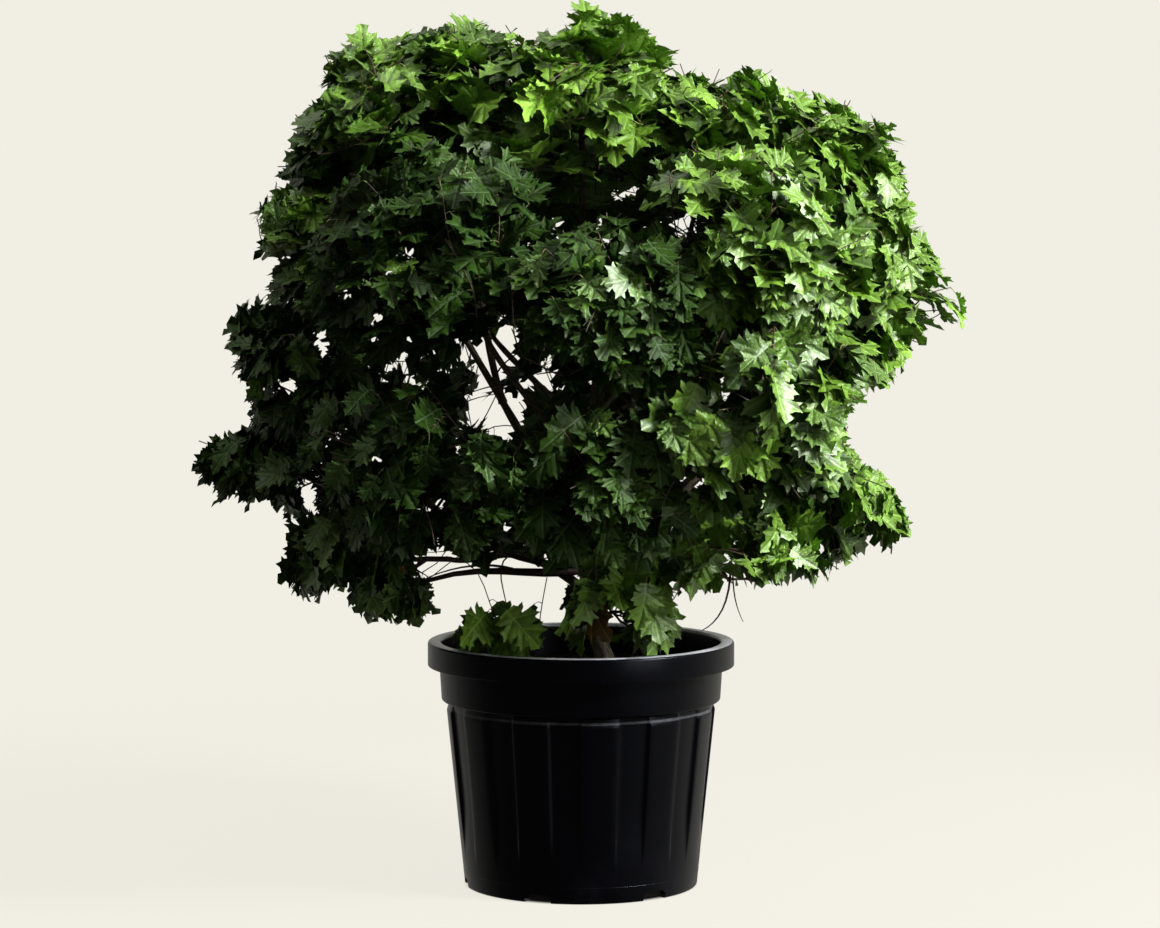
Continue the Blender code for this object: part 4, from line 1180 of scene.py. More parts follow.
def soil_height(soil, x, y):
    """Height of the soil: its level and two sizes of clods, flattened round the trunk."""
    place = np.stack([x, y, np.zeros_like(x)], axis=-1)
    away = np.hypot(x - TRUNK_FOOT[0], y - TRUNK_FOOT[1])
    rough = fractal_noise(place * CLOD_CELLS, 5, 4)
    return soil.level + soil.clods * (rough - 0.35) * (0.25 + 0.75 * smooth(0.015, 0.09, away))


def build_soil(soil, pot):
    """The soil in the pot: a round grid of heights on top of a body that fills the pot's inside."""
    inside = pot_corners(pot)[-4:-1][::-1]
    wall_part = (soil.level - inside[2, 1]) / (pot.height - inside[2, 1])
    edge = inside[2, 0] + (pot.collar_top - pot.wall - inside[2, 0]) * wall_part - SOIL_SLACK
    shares = np.linspace(1.0, 0.0, SOIL_RINGS, endpoint=False)
    angles = equal_turns(SOIL_COLUMNS)
    top = ring_points(angles, edge * shares[:, None], 0.0)
    top[..., 2] = soil_height(soil, top[..., 0], top[..., 1])
    body = ring_points(angles, inside[:, :1] - SOIL_SLACK, inside[:, 1:2] + CLEARANCE)
    middle = soil_height(soil, np.zeros(1), np.zeros(1))[0]
    points = np.concatenate([body.reshape(-1, 3), top.reshape(-1, 3),
                             [(0.0, 0.0, inside[0, 1] + CLEARANCE), (0.0, 0.0, middle)]])
    mesh = new_mesh("soil_bed", points, closed_faces(SOIL_RINGS + len(inside), SOIL_COLUMNS))
    add_piece("soil_bed", mesh, earth_material("moist_soil", soil.earth, 160.0), ["soil"])
    build_chips(soil, edge)


def build_chips(soil, edge):
    """Bark chips and crumbs: small boxes with shaken corners, each turned its own way and half sunk."""
    rng = np.random.default_rng(SEED)
    count = soil.chips
    corners = np.array([(x, y, z) for z in (-1, 1) for x, y in ((-1, -1), (1, -1), (1, 1), (-1, 1))], float)
    size = soil.chip_size * np.exp(rng.normal(0.0, CHIP_SPREAD, (count, 1)))
    width = rng.uniform(*CHIP_WIDTHS, count)
    height = rng.uniform(*CHIP_HEIGHTS, count)
    half = 0.5 * size * np.stack([np.ones(count), width, height], axis=1)
    local = corners[None] * half[:, None] * rng.uniform(*CHIP_CORNERS, (count, 8, 3))
    turn = rng.uniform(0.0, math.tau, count)
    pitch = rng.normal(0.0, CHIP_TILTS[0], count)
    ahead = unit(np.stack([np.cos(turn), np.sin(turn), pitch], axis=1))
    roll = rng.normal(0.0, CHIP_TILTS[1], count)
    side = across(ahead, np.stack([-np.sin(turn), np.cos(turn), roll], axis=1))
    lift = np.cross(ahead, side)
    reach = (edge - BARE_AT_WALL) * np.sqrt(rng.uniform(0.0, 1.0, count))
    bearing = rng.uniform(0.0, math.tau, count)
    x, y = reach * np.cos(bearing), reach * np.sin(bearing)
    centre = np.stack([x, y, soil_height(soil, x, y) + CHIP_LIFT * half[:, 2]], axis=1)
    turned = local[..., :1] * ahead[:, None] + local[..., 1:2] * side[:, None]
    points = centre[:, None] + (turned + local[..., 2:] * lift[:, None])
    box = np.array([(3, 2, 1, 0), (4, 5, 6, 7), (0, 1, 5, 4), (1, 2, 6, 5), (2, 3, 7, 6), (3, 0, 4, 7)])
    kept = points[np.hypot(x - TRUNK_FOOT[0], y - TRUNK_FOOT[1]) > BARE_ROUND_TRUNK]
    faces = (box[None] + 8 * np.arange(len(kept))[:, None, None]).reshape(-1, 4)
    add_piece("soil_chips", new_mesh("soil_chips", kept.reshape(-1, 3), [faces]),
              earth_material("bark_chips", soil.chip, 220.0), crease=CHIP_CREASE)


# Trunk and boughs

class Limb:
    """A trunk or bough: the source's own path and radii, and the curve's control points."""

    def __init__(self, path, radii, controls=None):
        self.path = path
        self.radii = radii
        self.controls = controls

    def at(self, part_way):
        """Place, heading and radius at a share of the way along."""
        place = part_way * (len(self.path) - 1)
        low = min(int(place), len(self.path) - 2)
        part = place - low
        point = self.path[low] * (1.0 - part) + self.path[low + 1] * part
        radius = self.radii[low] * (1.0 - part) + self.radii[low + 1] * part
        return point, unit(self.path[low + 1] - self.path[low]), radius


def flare(z):
    """How far the roots stand out of the trunk at a height: it halves every 11 mm."""
    return FLARE * np.exp(-np.maximum(z - SOIL_TOP, 0.0) / FLARE_HEIGHT)


def trunk_line(heights):
    """The middle of the trunk at some heights: a quarter sine from its foot to its top."""
    foot = SOIL_TOP + CLEARANCE
    rise = np.clip((heights - foot) / (FORK_HEIGHT - foot), 0.0, 1.0)
    bend = np.sin(rise * 0.5 * math.pi)[:, None]
    middle = TRUNK_FOOT * (1.0 - bend) + TRUNK_TOP * bend
    radii = TRUNK_FOOT_RADIUS + (TRUNK_TOP_RADIUS - TRUNK_FOOT_RADIUS) * rise
    return np.column_stack([middle, heights]), radii


def plan_trunk():
    """The source's trunk: its rings are close together at the flare."""
    foot = SOIL_TOP + CLEARANCE
    upper = np.linspace(foot + FLARE_LEVELS[-1], FORK_HEIGHT, TRUNK_STEPS + 1)
    return Limb(*trunk_line(np.concatenate([foot + np.array(FLARE_LEVELS), upper[1:]])))


def plan_bough(parent, part_way, base_radius, space):
    """A limb that leaves its parent upwards and outwards and ends just inside its mass's space."""
    start, along, parent_radius = parent.at(part_way)
    entry = space.entry(start)
    reach = np.linalg.norm(entry - start)
    heading = unit(unit(entry - start) + BOUGH_RISE * UP)
    if part_way == 1.0:
        start = start + along * CLEARANCE
        leaving = UP
    else:
        leaving = unit(BOUGH_FOLLOW * along + unit(entry - start))
    controls = np.array([
        start, start + leaving * BOUGH_BEND * reach, entry - heading * BOUGH_BEND * reach, entry])
    way = np.linspace(0.0, 1.0, BOUGH_STEPS + 1)
    radii = base_radius + (BOUGH_TIP_RADIUS - base_radius) * way ** BOUGH_TAPER
    radii[0] = min(radii[0], 0.95 * parent_radius) if part_way < 1.0 else radii[0]
    return Limb(bezier(controls, way), radii, controls)


@lru_cache(maxsize=None)
def plan_crown():
    """The limbs and the masses' spaces, as the source plans them."""
    spaces = {name: Space(row[0], row[1]) for name, row in MASSES.items()}
    for name, space in spaces.items():
        for other_name, other in spaces.items():
            if other_name != name:
                space.give_way(other)
    limbs = {"trunk": plan_trunk()}
    for name, (_, _, parent, part_way, base_radius) in MASSES.items():
        if base_radius:
            limbs["bough_" + name] = plan_bough(limbs[parent], part_way, base_radius, spaces[name])
    return limbs, spaces


@lru_cache(maxsize=None)
def limb_barrier():
    """The frame's trunk and boughs as one tree of faces, for tests of nearness."""
    points = []
    faces = []
    for name in LIMB_NODES:
        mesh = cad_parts[name].data
        first = len(points)
        points += [vertex.co.copy() for vertex in mesh.vertices]
        faces += [[first + index for index in polygon.vertices] for polygon in mesh.polygons]
    return BVHTree.FromPolygons(points, faces)


def bark_relief(grain, depth):
    """Height of the bark: plates from stretched noise, less cracks where another noise is near 0."""
    long_grain = grain * np.array(GRAIN_STRETCH)
    plates = fractal_noise(long_grain * PLATES_IN_A_METRE, 11, 3)
    cracks = np.abs(value_noise(long_grain * CRACKS_IN_A_METRE, 23))
    swells = value_noise(grain * np.array(SWELLS_IN_A_METRE), 31)
    return depth * (0.45 * plates - 0.8 * np.clip(1.0 - cracks / CRACK_WIDTH, 0.0, 1.0) + 0.9 * swells)


def bark_skin(path, radii, sides, depth, number, roots=None):
    """A limb's skin with its relief, as points and faces, and the grain at each point.

    Point = centre + (radius + relief) * spoke. The grain is the spoke times the radius, and the
    length along the limb, so that patterns run on round it with no seam. The relief is lower
    where the limb is thin.
    """
    steps = len(path)
    if roots is None:
        tangents = unit(np.gradient(path, axis=0))
        side = across(tangents, across(unit(path[-1] - path[0]), np.array([0.0, -1.0, 0.1])))
    else:
        tangents = np.broadcast_to(UP, path.shape)
        side = np.broadcast_to(np.array([1.0, 0.0, 0.0]), path.shape)
    angles = equal_turns(sides)
    gone = np.concatenate([[0.0], np.cumsum(np.linalg.norm(np.diff(path, axis=0), axis=1))])
    grain = np.empty((steps, sides, 3))
    grain[..., 0] = np.cos(angles) * radii[:, None] + 0.5 * number
    grain[..., 1] = np.sin(angles) * radii[:, None]
    grain[..., 2] = gone[:, None]
    reach = radii[:, None] + bark_relief(grain, depth) * np.minimum(1.0, radii[:, None] / FULL_RELIEF_FROM)
    if roots is not None:
        reach = reach + roots
    points = path[:, None] + reach[..., None] * spokes_round(tangents, side, sides)
    ends = np.array([path[0], path[-1]])
    end_grain = np.array([grain[0].mean(axis=0), grain[-1].mean(axis=0)])
    shape = (np.concatenate([points.reshape(-1, 3), ends]), closed_faces(steps, sides))
    return shape, np.concatenate([grain.reshape(-1, 3), end_grain])


def build_trunk(bark):
    """The trunk: level rings from just under the soil to the fork, with roots that spread at its foot.

    It narrows a little at the fork, so that it goes into the foot of the first bough.
    """
    heights = np.linspace(SOIL_TOP - TRUNK_SINK, FORK_HEIGHT, TRUNK_RINGS)
    path, radii = trunk_line(heights)
    narrowing = TRUNK_NARROWING * smooth(FORK_HEIGHT - NARROWING_LENGTH, FORK_HEIGHT, heights)
    ridges = 1.0 - ROOT_RIDGE + ROOT_RIDGE * np.cos(FLARE_ROOTS * equal_turns(TRUNK_SIDES) + ROOT_TURN)
    roots = flare(heights)[:, None] * ridges
    shape, grain = bark_skin(path, radii - narrowing, TRUNK_SIDES, bark.relief, 0, roots)
    mesh = new_mesh("trunk_bark", *shape, grain=grain)
    # The trunk's paler bark carries painted light as well as its own colour
    add_piece("trunk_bark", mesh, bark_material("old_bark", bark, bark.old), ["trunk"])


def build_boughs(bark):
    """The boughs: each a tapering limb with a collar at its foot, which is sunk in its parent.

    The first carries the trunk on upwards, so it starts in the trunk's top and has no collar.
    """
    limbs, _ = plan_crown()
    way = np.linspace(0.0, 1.0, BOUGH_RINGS)
    shapes = []
    grains = []
    boughs = {name: limb for name, limb in limbs.items() if limb.controls is not None}
    for number, (name, limb) in enumerate(boughs.items(), start=1):
        path = bezier(limb.controls, way)
        reach = np.linalg.norm(path[-1] - path[0])
        radii = np.interp(way, np.linspace(0.0, 1.0, len(limb.radii)), limb.radii)
        if name == "bough_peak":
            collar = 0.0
            path[0] = path[0] - UP * COLLAR_LENGTH
        else:
            collar = bark.collar * np.exp(-way * reach / COLLAR_LENGTH)
        along = np.stack([way * reach * KNOTS_IN_A_METRE, 0.0 * way, 0.0 * way + number], axis=1)
        radii = radii * (1.0 + collar + KNOTS * value_noise(along, 7))
        shape, grain = bark_skin(path, radii, BOUGH_SIDES, bark.relief, number)
        shapes.append(shape)
        grains.append(grain)
    mesh = new_mesh("boughs_bark", *join(shapes), grain=np.concatenate(grains))
    add_piece("boughs_bark", mesh, bark_material("bough_bark", bark, bark.pale), list(boughs))


def build_bare_twigs(bark):
    """Bare side shoots along the boughs, and the lone twigs that show below the crown.

    A shoot leaves its bough along, to the side and upwards, and bends down a little at its tip,
    where it has about a third of its radius.
    """
    limbs, _ = plan_crown()
    rng = np.random.default_rng(SEED + 900)
    controls = np.array([limb.controls for limb in limbs.values() if limb.controls is not None])
    run = np.repeat(np.arange(len(controls)), bark.shoots)
    count = len(run)
    t = rng.uniform(*SHOOT_SPAN, count)[:, None]
    base = bezier(controls[run], t)[:, 0]
    along = bezier_slope(controls[run], t)[:, 0]
    side = across(along, rng.normal(size=(count, 3)))
    heading = unit(SHOOT_HEADING["along"] * along + SHOOT_HEADING["side"] * side + SHOOT_HEADING["up"] * UP)
    length = rng.uniform(*SHOOT_LENGTHS, (count, 1))
    bend = unit(SHOOT_BEND["ahead"] * heading + SHOOT_BEND["stray"] * rng.normal(size=(count, 3)))
    ending = unit(bend + SHOOT_TIP["ahead"] * heading - SHOOT_TIP["droop"] * UP)
    shoots = np.stack([base, base + 0.35 * length * heading, base + 0.7 * length * bend,
                       base + length * ending], axis=1)
    way = np.linspace(0.0, 1.0, SHOOT_STEPS)
    shoots = shoots[(openings(bezier(shoots, way)) < FULL_OPENING).all(axis=1)]
    lone = np.array([row[0] for row in LONE_TWIGS])
    paths = bezier(np.concatenate([shoots, lone]), way)
    thick = np.concatenate([np.full(len(shoots), SHOOT_RADIUS), [row[1] for row in LONE_TWIGS]])
    shape = tubes(paths, thick[:, None] * (1.0 - SHOOT_TAPER * way), TWIG_SIDES)
    add_piece("bare_twigs", new_mesh("bare_twigs", *shape), twig_material(bark))


# Spaces and twigs

class Space:
    """The room of one mass: an ellipsoid, cut flat part of the way to each neighbour."""

    def __init__(self, centre, radii):
        self.centre = np.array(centre)
        self.radii = np.array(radii)
        out = outward(self.centre)
        self.room_radii = self.radii * SPACE_SWELL
        self.room_centre = self.centre - out * self.reach(out) * (SPACE_SWELL - 1.0)
        self.normals = np.empty((0, 3))
        self.offsets = np.empty(0)

    def reach(self, direction):
        """Half size of the ellipsoid along a direction."""
        return 1.0 / np.linalg.norm(direction / self.radii)

    def give_way(self, other):
        """Adds the plane between this space and another, nearer to the smaller of the two."""
        gap = other.centre - self.centre
        direction = unit(gap)
        part = self.reach(direction) / (self.reach(direction) + other.reach(direction))
        self.normals = np.vstack([self.normals, direction])
        self.offsets = np.append(self.offsets, np.dot(self.centre + gap * part, direction))

    def holds(self, points, margin):
        """Which of the points lie in the space, clear of its planes by the margin."""
        within = np.linalg.norm((points - self.room_centre) / self.room_radii, axis=-1) <= 1.0
        return within & ((points @ self.normals.T - self.offsets).max(axis=-1) <= -margin)

    def entry(self, start):
        """The point a little inside the space where a limb from the start comes in."""
        line = self.centre + (start - self.centre) * np.linspace(1.0, 0.0, 101)[:, None]
        core = np.linalg.norm((line - self.centre) / self.radii, axis=1) <= 1.0
        good = np.flatnonzero(core & self.holds(line, 0.4 * ENTRY_DEPTH))
        if len(good) == 0:
            return self.centre
        return line[good[0]] + unit(self.centre - start) * 0.6 * ENTRY_DEPTH


def outward(points):
    """The direction out of the crown at some points."""
    return unit((points - CROWN_HEART) / CROWN_REACH ** 2)


def seen_from_front(points):
    """Where lines from the eye through some points meet the plane of the trunk."""
    part = -EYE[1] / (points[..., 1] - EYE[1])
    return EYE[0] + (points[..., 0] - EYE[0]) * part, EYE[2] + (points[..., 2] - EYE[2]) * part


def window_share(points, windows):
    """The largest share of leaves that the windows leave out at some points, seen from the front."""
    x, z = seen_from_front(points)
    most = np.zeros(points.shape[:-1])
    for middle_x, middle_z, half_x, half_z, left_out in windows:
        inside = ((x - middle_x) / half_x) ** 2 + ((z - middle_z) / half_z) ** 2 < 1.0
        most = np.maximum(most, inside * left_out)
    return most


def tip_windows(points):
    """The source's windows, in which no first twig ends."""
    return window_share(points, TIP_WINDOWS)


def openings(points):
    """The share of leaves left out at some points: windows, front windows, and all past the outline.

    A point is in the outline where a level line from it crosses the outline's edges an odd number
    of times.
    """
    x, z = seen_from_front(points)
    crossings = np.zeros(x.shape, int)
    for (x0, z0), (x1, z1) in zip(CROWN_OUTLINE, np.roll(CROWN_OUTLINE, -1, axis=0)):
        if z0 != z1:
            crossings += ((z0 > z) != (z1 > z)) & (x < x0 + (x1 - x0) * (z - z0) / (z1 - z0))
    front = window_share(points, FRONT_WINDOWS) * (points[..., 1] < FRONT_DEPTH)
    left_out = np.maximum(window_share(points, LEAF_WINDOWS), front)
    return np.where(crossings % 2 == 1, left_out, 1.0)


def spread_tips(space, rng, count, shell_range, margin, taken, share_left_out):
    """Seeded twig tips, each far from the others, more of them on the crown's outer side."""
    tips = []
    while len(tips) < count:
        ways = rng.normal(size=(TIP_CANDIDATES, 3))
        ways /= np.linalg.norm(ways, axis=1)[:, None]
        shell = rng.uniform(*shell_range, (TIP_CANDIDATES, 1))
        places = space.room_centre + ways * space.room_radii * shell
        fits = space.holds(places, margin) & (share_left_out(places) < FULL_OPENING)
        if not fits.any():
            break
        others = np.array(taken + tips)
        nearest = np.full(TIP_CANDIDATES, 0.1)
        if len(others):
            nearest = np.linalg.norm(places[:, None] - others, axis=-1).min(axis=1)
        score = nearest * (1.0 + TIP_OUTWARD * (ways @ outward(space.centre)))
        tips.append(places[np.argmax(np.where(fits, score, -np.inf))])
    return tips


class Skeleton:
    """The points of a growing mass of twigs, each with its parent and heading."""

    def __init__(self, start, heading):
        self.points = [start]
        self.headings = [heading]
        self.parents = [-1]
        self.runs = []
        self.controls = []

    def grow(self, anchor, tip, lead):
        """Grows a twig from an anchor point to a tip, leaving along the anchor's heading."""
        start = self.points[anchor]
        reach = np.linalg.norm(tip - start)
        leaving = unit(self.headings[anchor] * lead + unit(tip - start))
        arriving = unit(unit(tip - start) + TWIG_OUT * outward(tip) - TWIG_DROOP * UP)
        bend = TWIG_BEND * reach
        controls = np.array([start, start + leaving * bend, tip - arriving * bend, tip])
        path = bezier(controls, np.linspace(0.0, 1.0, GROWTH_STEPS + 1))
        run = [anchor]
        for point in path[1:]:
            self.headings.append(unit(point - self.points[run[-1]]))
            self.points.append(point)
            self.parents.append(run[-1])
            run.append(len(self.points) - 1)
        self.runs.append(run)
        self.controls.append(controls)
        return path

    def drop_last(self):
        """Takes the last twig off again."""
        first = self.runs.pop()[1]
        self.controls.pop()
        for column in (self.points, self.headings, self.parents):
            del column[first:]

    def drop_leafless(self, leafy):
        """Takes off the twigs that carry neither a leaf nor another twig that stays."""
        needed = set()
        kept = []
        for number in range(len(self.runs) - 1, -1, -1):
            run = self.runs[number]
            if number == 0 or number in leafy or needed.intersection(run[1:]):
                needed.add(run[0])
                kept.append(number)
        self.runs = [self.runs[number] for number in reversed(kept)]

    def nearest(self, tip):
        """The anchor for a new twig: near the tip, and headed towards it."""
        gaps = tip - np.array(self.points[1:])
        distances = np.linalg.norm(gaps, axis=1)
        towards = np.sum(np.array(self.headings[1:]) * gaps, axis=1) / distances
        costs = np.where(distances < SHORTEST_TWIG, np.inf, distances * (TURN_BACK_COST - towards))
        return int(np.argmin(costs)) + 1

    def loads(self):
        """How many tips each point carries."""
        load = np.zeros(len(self.points), int)
        for run in self.runs:
            index = run[-1]
            while index >= 0:
                load[index] += 1
                index = self.parents[index]
        return np.maximum(load, 1)


def stem_start(name, limbs):
    """Where a mass's stem begins, a little inside its bough's tip or the trunk."""
    _, _, parent, part_way, base_radius = MASSES[name]
    if base_radius:
        path = limbs["bough_" + name].path
        heading = unit(path[-1] - path[-2])
        return path[-1] - heading * STEM_SINK, heading
    point, along, radius = limbs[parent].at(part_way)
    heading = across(along, np.array(MASSES[name][0]) - point)
    return point + heading * (radius - 0.5 * STEM_SINK), heading


def grow_twigs(name, index, twig_count):
    """One mass's twigs: its stem, the source's tips, and then the finer ones between them."""
    limbs, spaces = plan_crown()
    space = spaces[name]
    rng = np.random.default_rng(SEED + index)
    start, heading = stem_start(name, limbs)
    skeleton = Skeleton(start, heading)
    skeleton.grow(0, space.centre + STEM_REACH * space.radii * outward(space.centre), STEM_LEAD)
    first = spread_tips(space, rng, TIPS_PER_MASS, TIP_SHELL, TIP_MARGIN, [], tip_windows)
    finer = spread_tips(space, rng, twig_count, FINE_SHELL, FINE_MARGIN, first, openings)
    barrier = limb_barrier()
    for tips in (first, finer):
        for tip in sorted(tips, key=lambda place: np.linalg.norm(place - start)):
            path = skeleton.grow(skeleton.nearest(tip), tip, TWIG_LEAD)
            clear = all(barrier.find_nearest(Vector(point), TWIG_BERTH)[0] is None for point in path[2:])
            if not clear or not space.holds(path[1:], FINE_MARGIN).all():
                skeleton.drop_last()
    return skeleton, rng


# Leaves

@lru_cache(maxsize=None)
def leaf_pattern():
    """One closed blade, flat and 1 by 1: points, thickness share, lobe number, faces and UVs.

    The right half's faces are fans from the hubs to the outline's edges, joined by a face at each
    change of hub. They are mirrored to the left, and turned over below with hubs of their own.
    """
    rim = [(*place, lobe) for lobe, places in enumerate(LEAF_LOBES) for place in places]
    hubs = [(*place, lobe) for place, lobe in zip(LEAF_HUBS, LEAF_HUB_LOBES)]
    half = np.array([(0.0, 0.0, 3.0), *rim, (0.0, 1.0, 3.0), *hubs])
    first_hub = len(rim) + 2
    faces = []
    place = 0
    before = None
    for number, edges in LEAF_WALK:
        hub = first_hub + number
        if before:
            faces.append((place, hub, before))
        faces += [(place + k, place + k + 1, hub) for k in range(edges)]
        place += edges
        before = hub
    right = np.array(faces)
    aside = half[:, 0] > 0.0
    partner = np.arange(len(half))
    partner[aside] = len(half) + np.arange(aside.sum())
    flat = np.concatenate([half, half[aside] * np.array([-1.0, 1.0, 1.0]) + np.array([0.0, 0.0, 4.0])])
    upper = np.concatenate([right, partner[right][:, ::-1]])
    is_hub = np.zeros(len(flat), bool)
    is_hub[first_hub:len(half)] = True
    is_hub[partner[first_hub:len(half)]] = True
    below = np.arange(len(flat))
    below[is_hub] = len(flat) + np.arange(is_hub.sum())
    places = np.concatenate([flat, flat[is_hub]])
    thick = np.concatenate([is_hub.astype(float), -np.ones(is_hub.sum())])
    faces = np.concatenate([upper, below[upper][:, ::-1]])
    uv = places[faces, :2] + np.array([0.5, 0.0])
    uv[len(upper):, :, 0] += UNDERSIDE
    return places, thick, faces, uv


def leaf_places(skeleton, settings):
    """Where leaves stand along the twigs: base, heading along the twig, twig number and order.

    They stand at about equal distances back from each tip, as far as the twig's bare foot.
    """
    controls = np.array(skeleton.controls[1:])
    lengths = np.linalg.norm(controls[:, 3] - controls[:, 0], axis=1)
    order = np.arange(settings.per_twig)
    t = 1.0 - order * settings.spacing / lengths[:, None]
    used = t > LEAFLESS_SHARE
    run, k = np.nonzero(used)
    way = t[used][:, None]
    base = bezier(controls[run], way)[:, 0]
    along = bezier_slope(controls[run], way)[:, 0]
    return base, along, run, k


def choose_leaves(space, skeleton, settings, scale, rng):
    """Leaves that fit the space: of six turns at each place, the first that stays inside.

    A leaf heads along its twig, to its side, out of the crown and down; its face looks out and
    up, square to its heading. Windows thin the leaves, and the pot and the limbs stay clear.
    """
    base, along, run, order = leaf_places(skeleton, settings)
    count = len(base)
    phase = rng.uniform(0.0, math.tau, len(skeleton.runs))[run] + order * GOLDEN_ANGLE
    turns = phase[:, None] + LEAF_TURNS + rng.normal(0.0, TURN_SHAKE, (count, len(LEAF_TURNS)))
    first = across(along, np.array([0.2, 0.3, 0.9]))
    second = np.cross(along, first)
    side = np.cos(turns)[..., None] * first[:, None] + np.sin(turns)[..., None] * second[:, None]
    out = outward(base)[:, None]
    droop = LEAF_AHEAD["droop"] * (1.0 - TOP_DROOP_LOSS * np.maximum(out[..., 2:], 0.0))
    shake = rng.normal(0.0, LEAF_SHAKE, side.shape)
    ahead = unit(LEAF_AHEAD["along"] * along[:, None] + LEAF_AHEAD["side"] * side
                 + LEAF_AHEAD["out"] * out - droop * UP + shake)
    tilt = rng.normal(0.0, LEAF_FACE["tilt"], side.shape)
    face = across(ahead, LEAF_FACE["out"] * out + LEAF_FACE["up"] * UP + tilt)
    size = scale * LEAF_SIZES * rng.uniform(*LEAF_SIZE_RANGE, (count, 1))
    size = size * np.where(order[:, None] == 0, TIP_LEAF_SIZE, 1.0)
    length = settings.length * size
    width = settings.width * size
    stalk = settings.petiole * size * rng.uniform(*STALK_RANGE, (count, 1))
    leaving = unit(STALK_LEAVING["along"] * along[:, None] + STALK_LEAVING["side"] * side
                   + STALK_LEAVING["up"] * UP)
    way_to_blade = STALK_SHARES["leaving"] * leaving + STALK_SHARES["ahead"] * ahead
    foot = base[:, None] + way_to_blade * stalk[..., None]
    across_blade = np.cross(ahead, face)
    spots = (foot[..., None, :] + LEAF_PROBES[:, 1:] * ahead[..., None, :] * length[..., None, None]
             + LEAF_PROBES[:, :1] * across_blade[..., None, :] * width[..., None, None])
    fits = space.holds(spots, -LEAF_OVERHANG).all(axis=-1) & clear_of_pot(spots).all(axis=-1)
    fits &= openings(spots).max(axis=-1) <= rng.uniform(0.0, 1.0, (count, 1))
    chosen = np.argmax(fits, axis=1)
    kept = np.flatnonzero(fits.any(axis=1))
    chosen = chosen[kept]
    barrier = limb_barrier()
    clear = np.array([
        all(barrier.find_nearest(Vector(spot), LEAF_BERTH)[0] is None for spot in group)
        for group in spots[kept, chosen]], bool)
    kept = kept[clear]
    chosen = chosen[clear]
    return {
        "base": base[kept],
        "foot": foot[kept, chosen],
        "leaving": leaving[kept, chosen],
        "ahead": ahead[kept, chosen],
        "face": face[kept, chosen],
        "length": length[kept, chosen],
        "width": width[kept, chosen],
        "run": run[kept],
        "order": order[kept],
    }


def clear_of_pot(points):
    """Which points keep off the pot's rim and the soil."""
    away = np.hypot(points[..., 0], points[..., 1])
    above = points[..., 2] > POT_TOP + POT_BERTH
    inside = (away < POT_MOUTH - POT_BERTH) & (points[..., 2] > SOIL_TOP + POT_BERTH + SOIL_BERTH)
    return above | inside | (away > RIM_RADIUS + POT_BERTH)


def spray_painted_light(leaves, skeleton, rng, lift):
    """One tone for each spray, as painted light and shade: darker inside, to the left and low,
    brighter outside, right and up.

    A few outer sprays are young and pale. Single leaves are a tone darker or brighter than their
    spray, as painted light that differs from leaf to leaf, and a few low ones have browned.
    """
    tips = np.array([controls[3] for controls in skeleton.controls[1:]])
    depth = np.linalg.norm((tips - CROWN_HEART) / CROWN_REACH, axis=1)
    middle_depth, middle_height = PAINTED_LIGHT_MIDDLE
    # Painted light of each spray, which picks its lighter or darker copy of the green
    light = (PAINTED_LIGHT_OUTWARD * (depth - middle_depth) + PAINTED_LIGHT_RIGHT * tips[:, 0]
             + PAINTED_LIGHT_UP * (tips[:, 2] - middle_height) + lift)
    light += rng.normal(0.0, PAINTED_LIGHT_STRAY, len(tips))
    tone = np.digitize(light, PAINTED_LIGHT_STEPS)
    young = (rng.uniform(0.0, 1.0, len(tips)) < YOUNG_SHARE) & (depth > YOUNG_DEPTH) & (light > 0.0)
    tone = np.where(young, YOUNG, tone)[leaves["run"]]
    odd = rng.choice((-1, 0, 1), len(tone), p=ODD_LEAVES)
    tone = np.where(tone < YOUNG, np.clip(tone + odd, SHADE, BRIGHT), tone)
    browned = (rng.uniform(0.0, 1.0, len(tone)) < BROWN_SHARE) & (leaves["foot"][:, 2] < BROWN_BELOW)
    return np.where(browned, BROWN, tone)


@lru_cache(maxsize=None)
def grown_crown():
    """Every mass's twigs and leaves, grown once for all the pieces."""
    settings = bpy.context.scene.pin_oak_leaves
    _, spaces = plan_crown()
    skeletons = []
    blocks = []
    for index, name in enumerate(MASSES):
        skeleton, rng = grow_twigs(name, index, round(settings.twigs * TWIG_SHARES.get(name, 1.0)))
        leaves = choose_leaves(spaces[name], skeleton, settings, LEAF_SCALES.get(name, 1.0), rng)
        leaves["tone"] = spray_painted_light(leaves, skeleton, rng, PAINTED_LIGHT_LIFT.get(name, 0.0))
        skeleton.drop_leafless(set(leaves["run"] + 1))
        skeletons.append(skeleton)
        blocks.append(leaves)
    leaves = {key: np.concatenate([block[key] for block in blocks]) for key in blocks[0]}
    return skeletons, leaves


def build_twigs(settings, bark):
    """All the twigs, thicker the more tips they carry: radius = tip radius * tips ^ 0.45."""
    skeletons, _ = grown_crown()
    paths = []
    radii = []
    for skeleton in skeletons:
        points = np.array(skeleton.points)
        thick = settings.twig_radius * skeleton.loads() ** TWIG_SWELL
        runs = np.array(skeleton.runs)
        widths = thick[runs]
        widths[:, 0] = np.minimum(widths[:, 0], FOOT_SWELL * widths[:, 1])
        paths.append(points[runs])
        radii.append(widths)
    shape = tubes(np.concatenate(paths), np.concatenate(radii), TWIG_SIDES)
    add_piece("twigs", new_mesh("twigs", *shape), twig_material(bark), FOLIAGE_NODES)


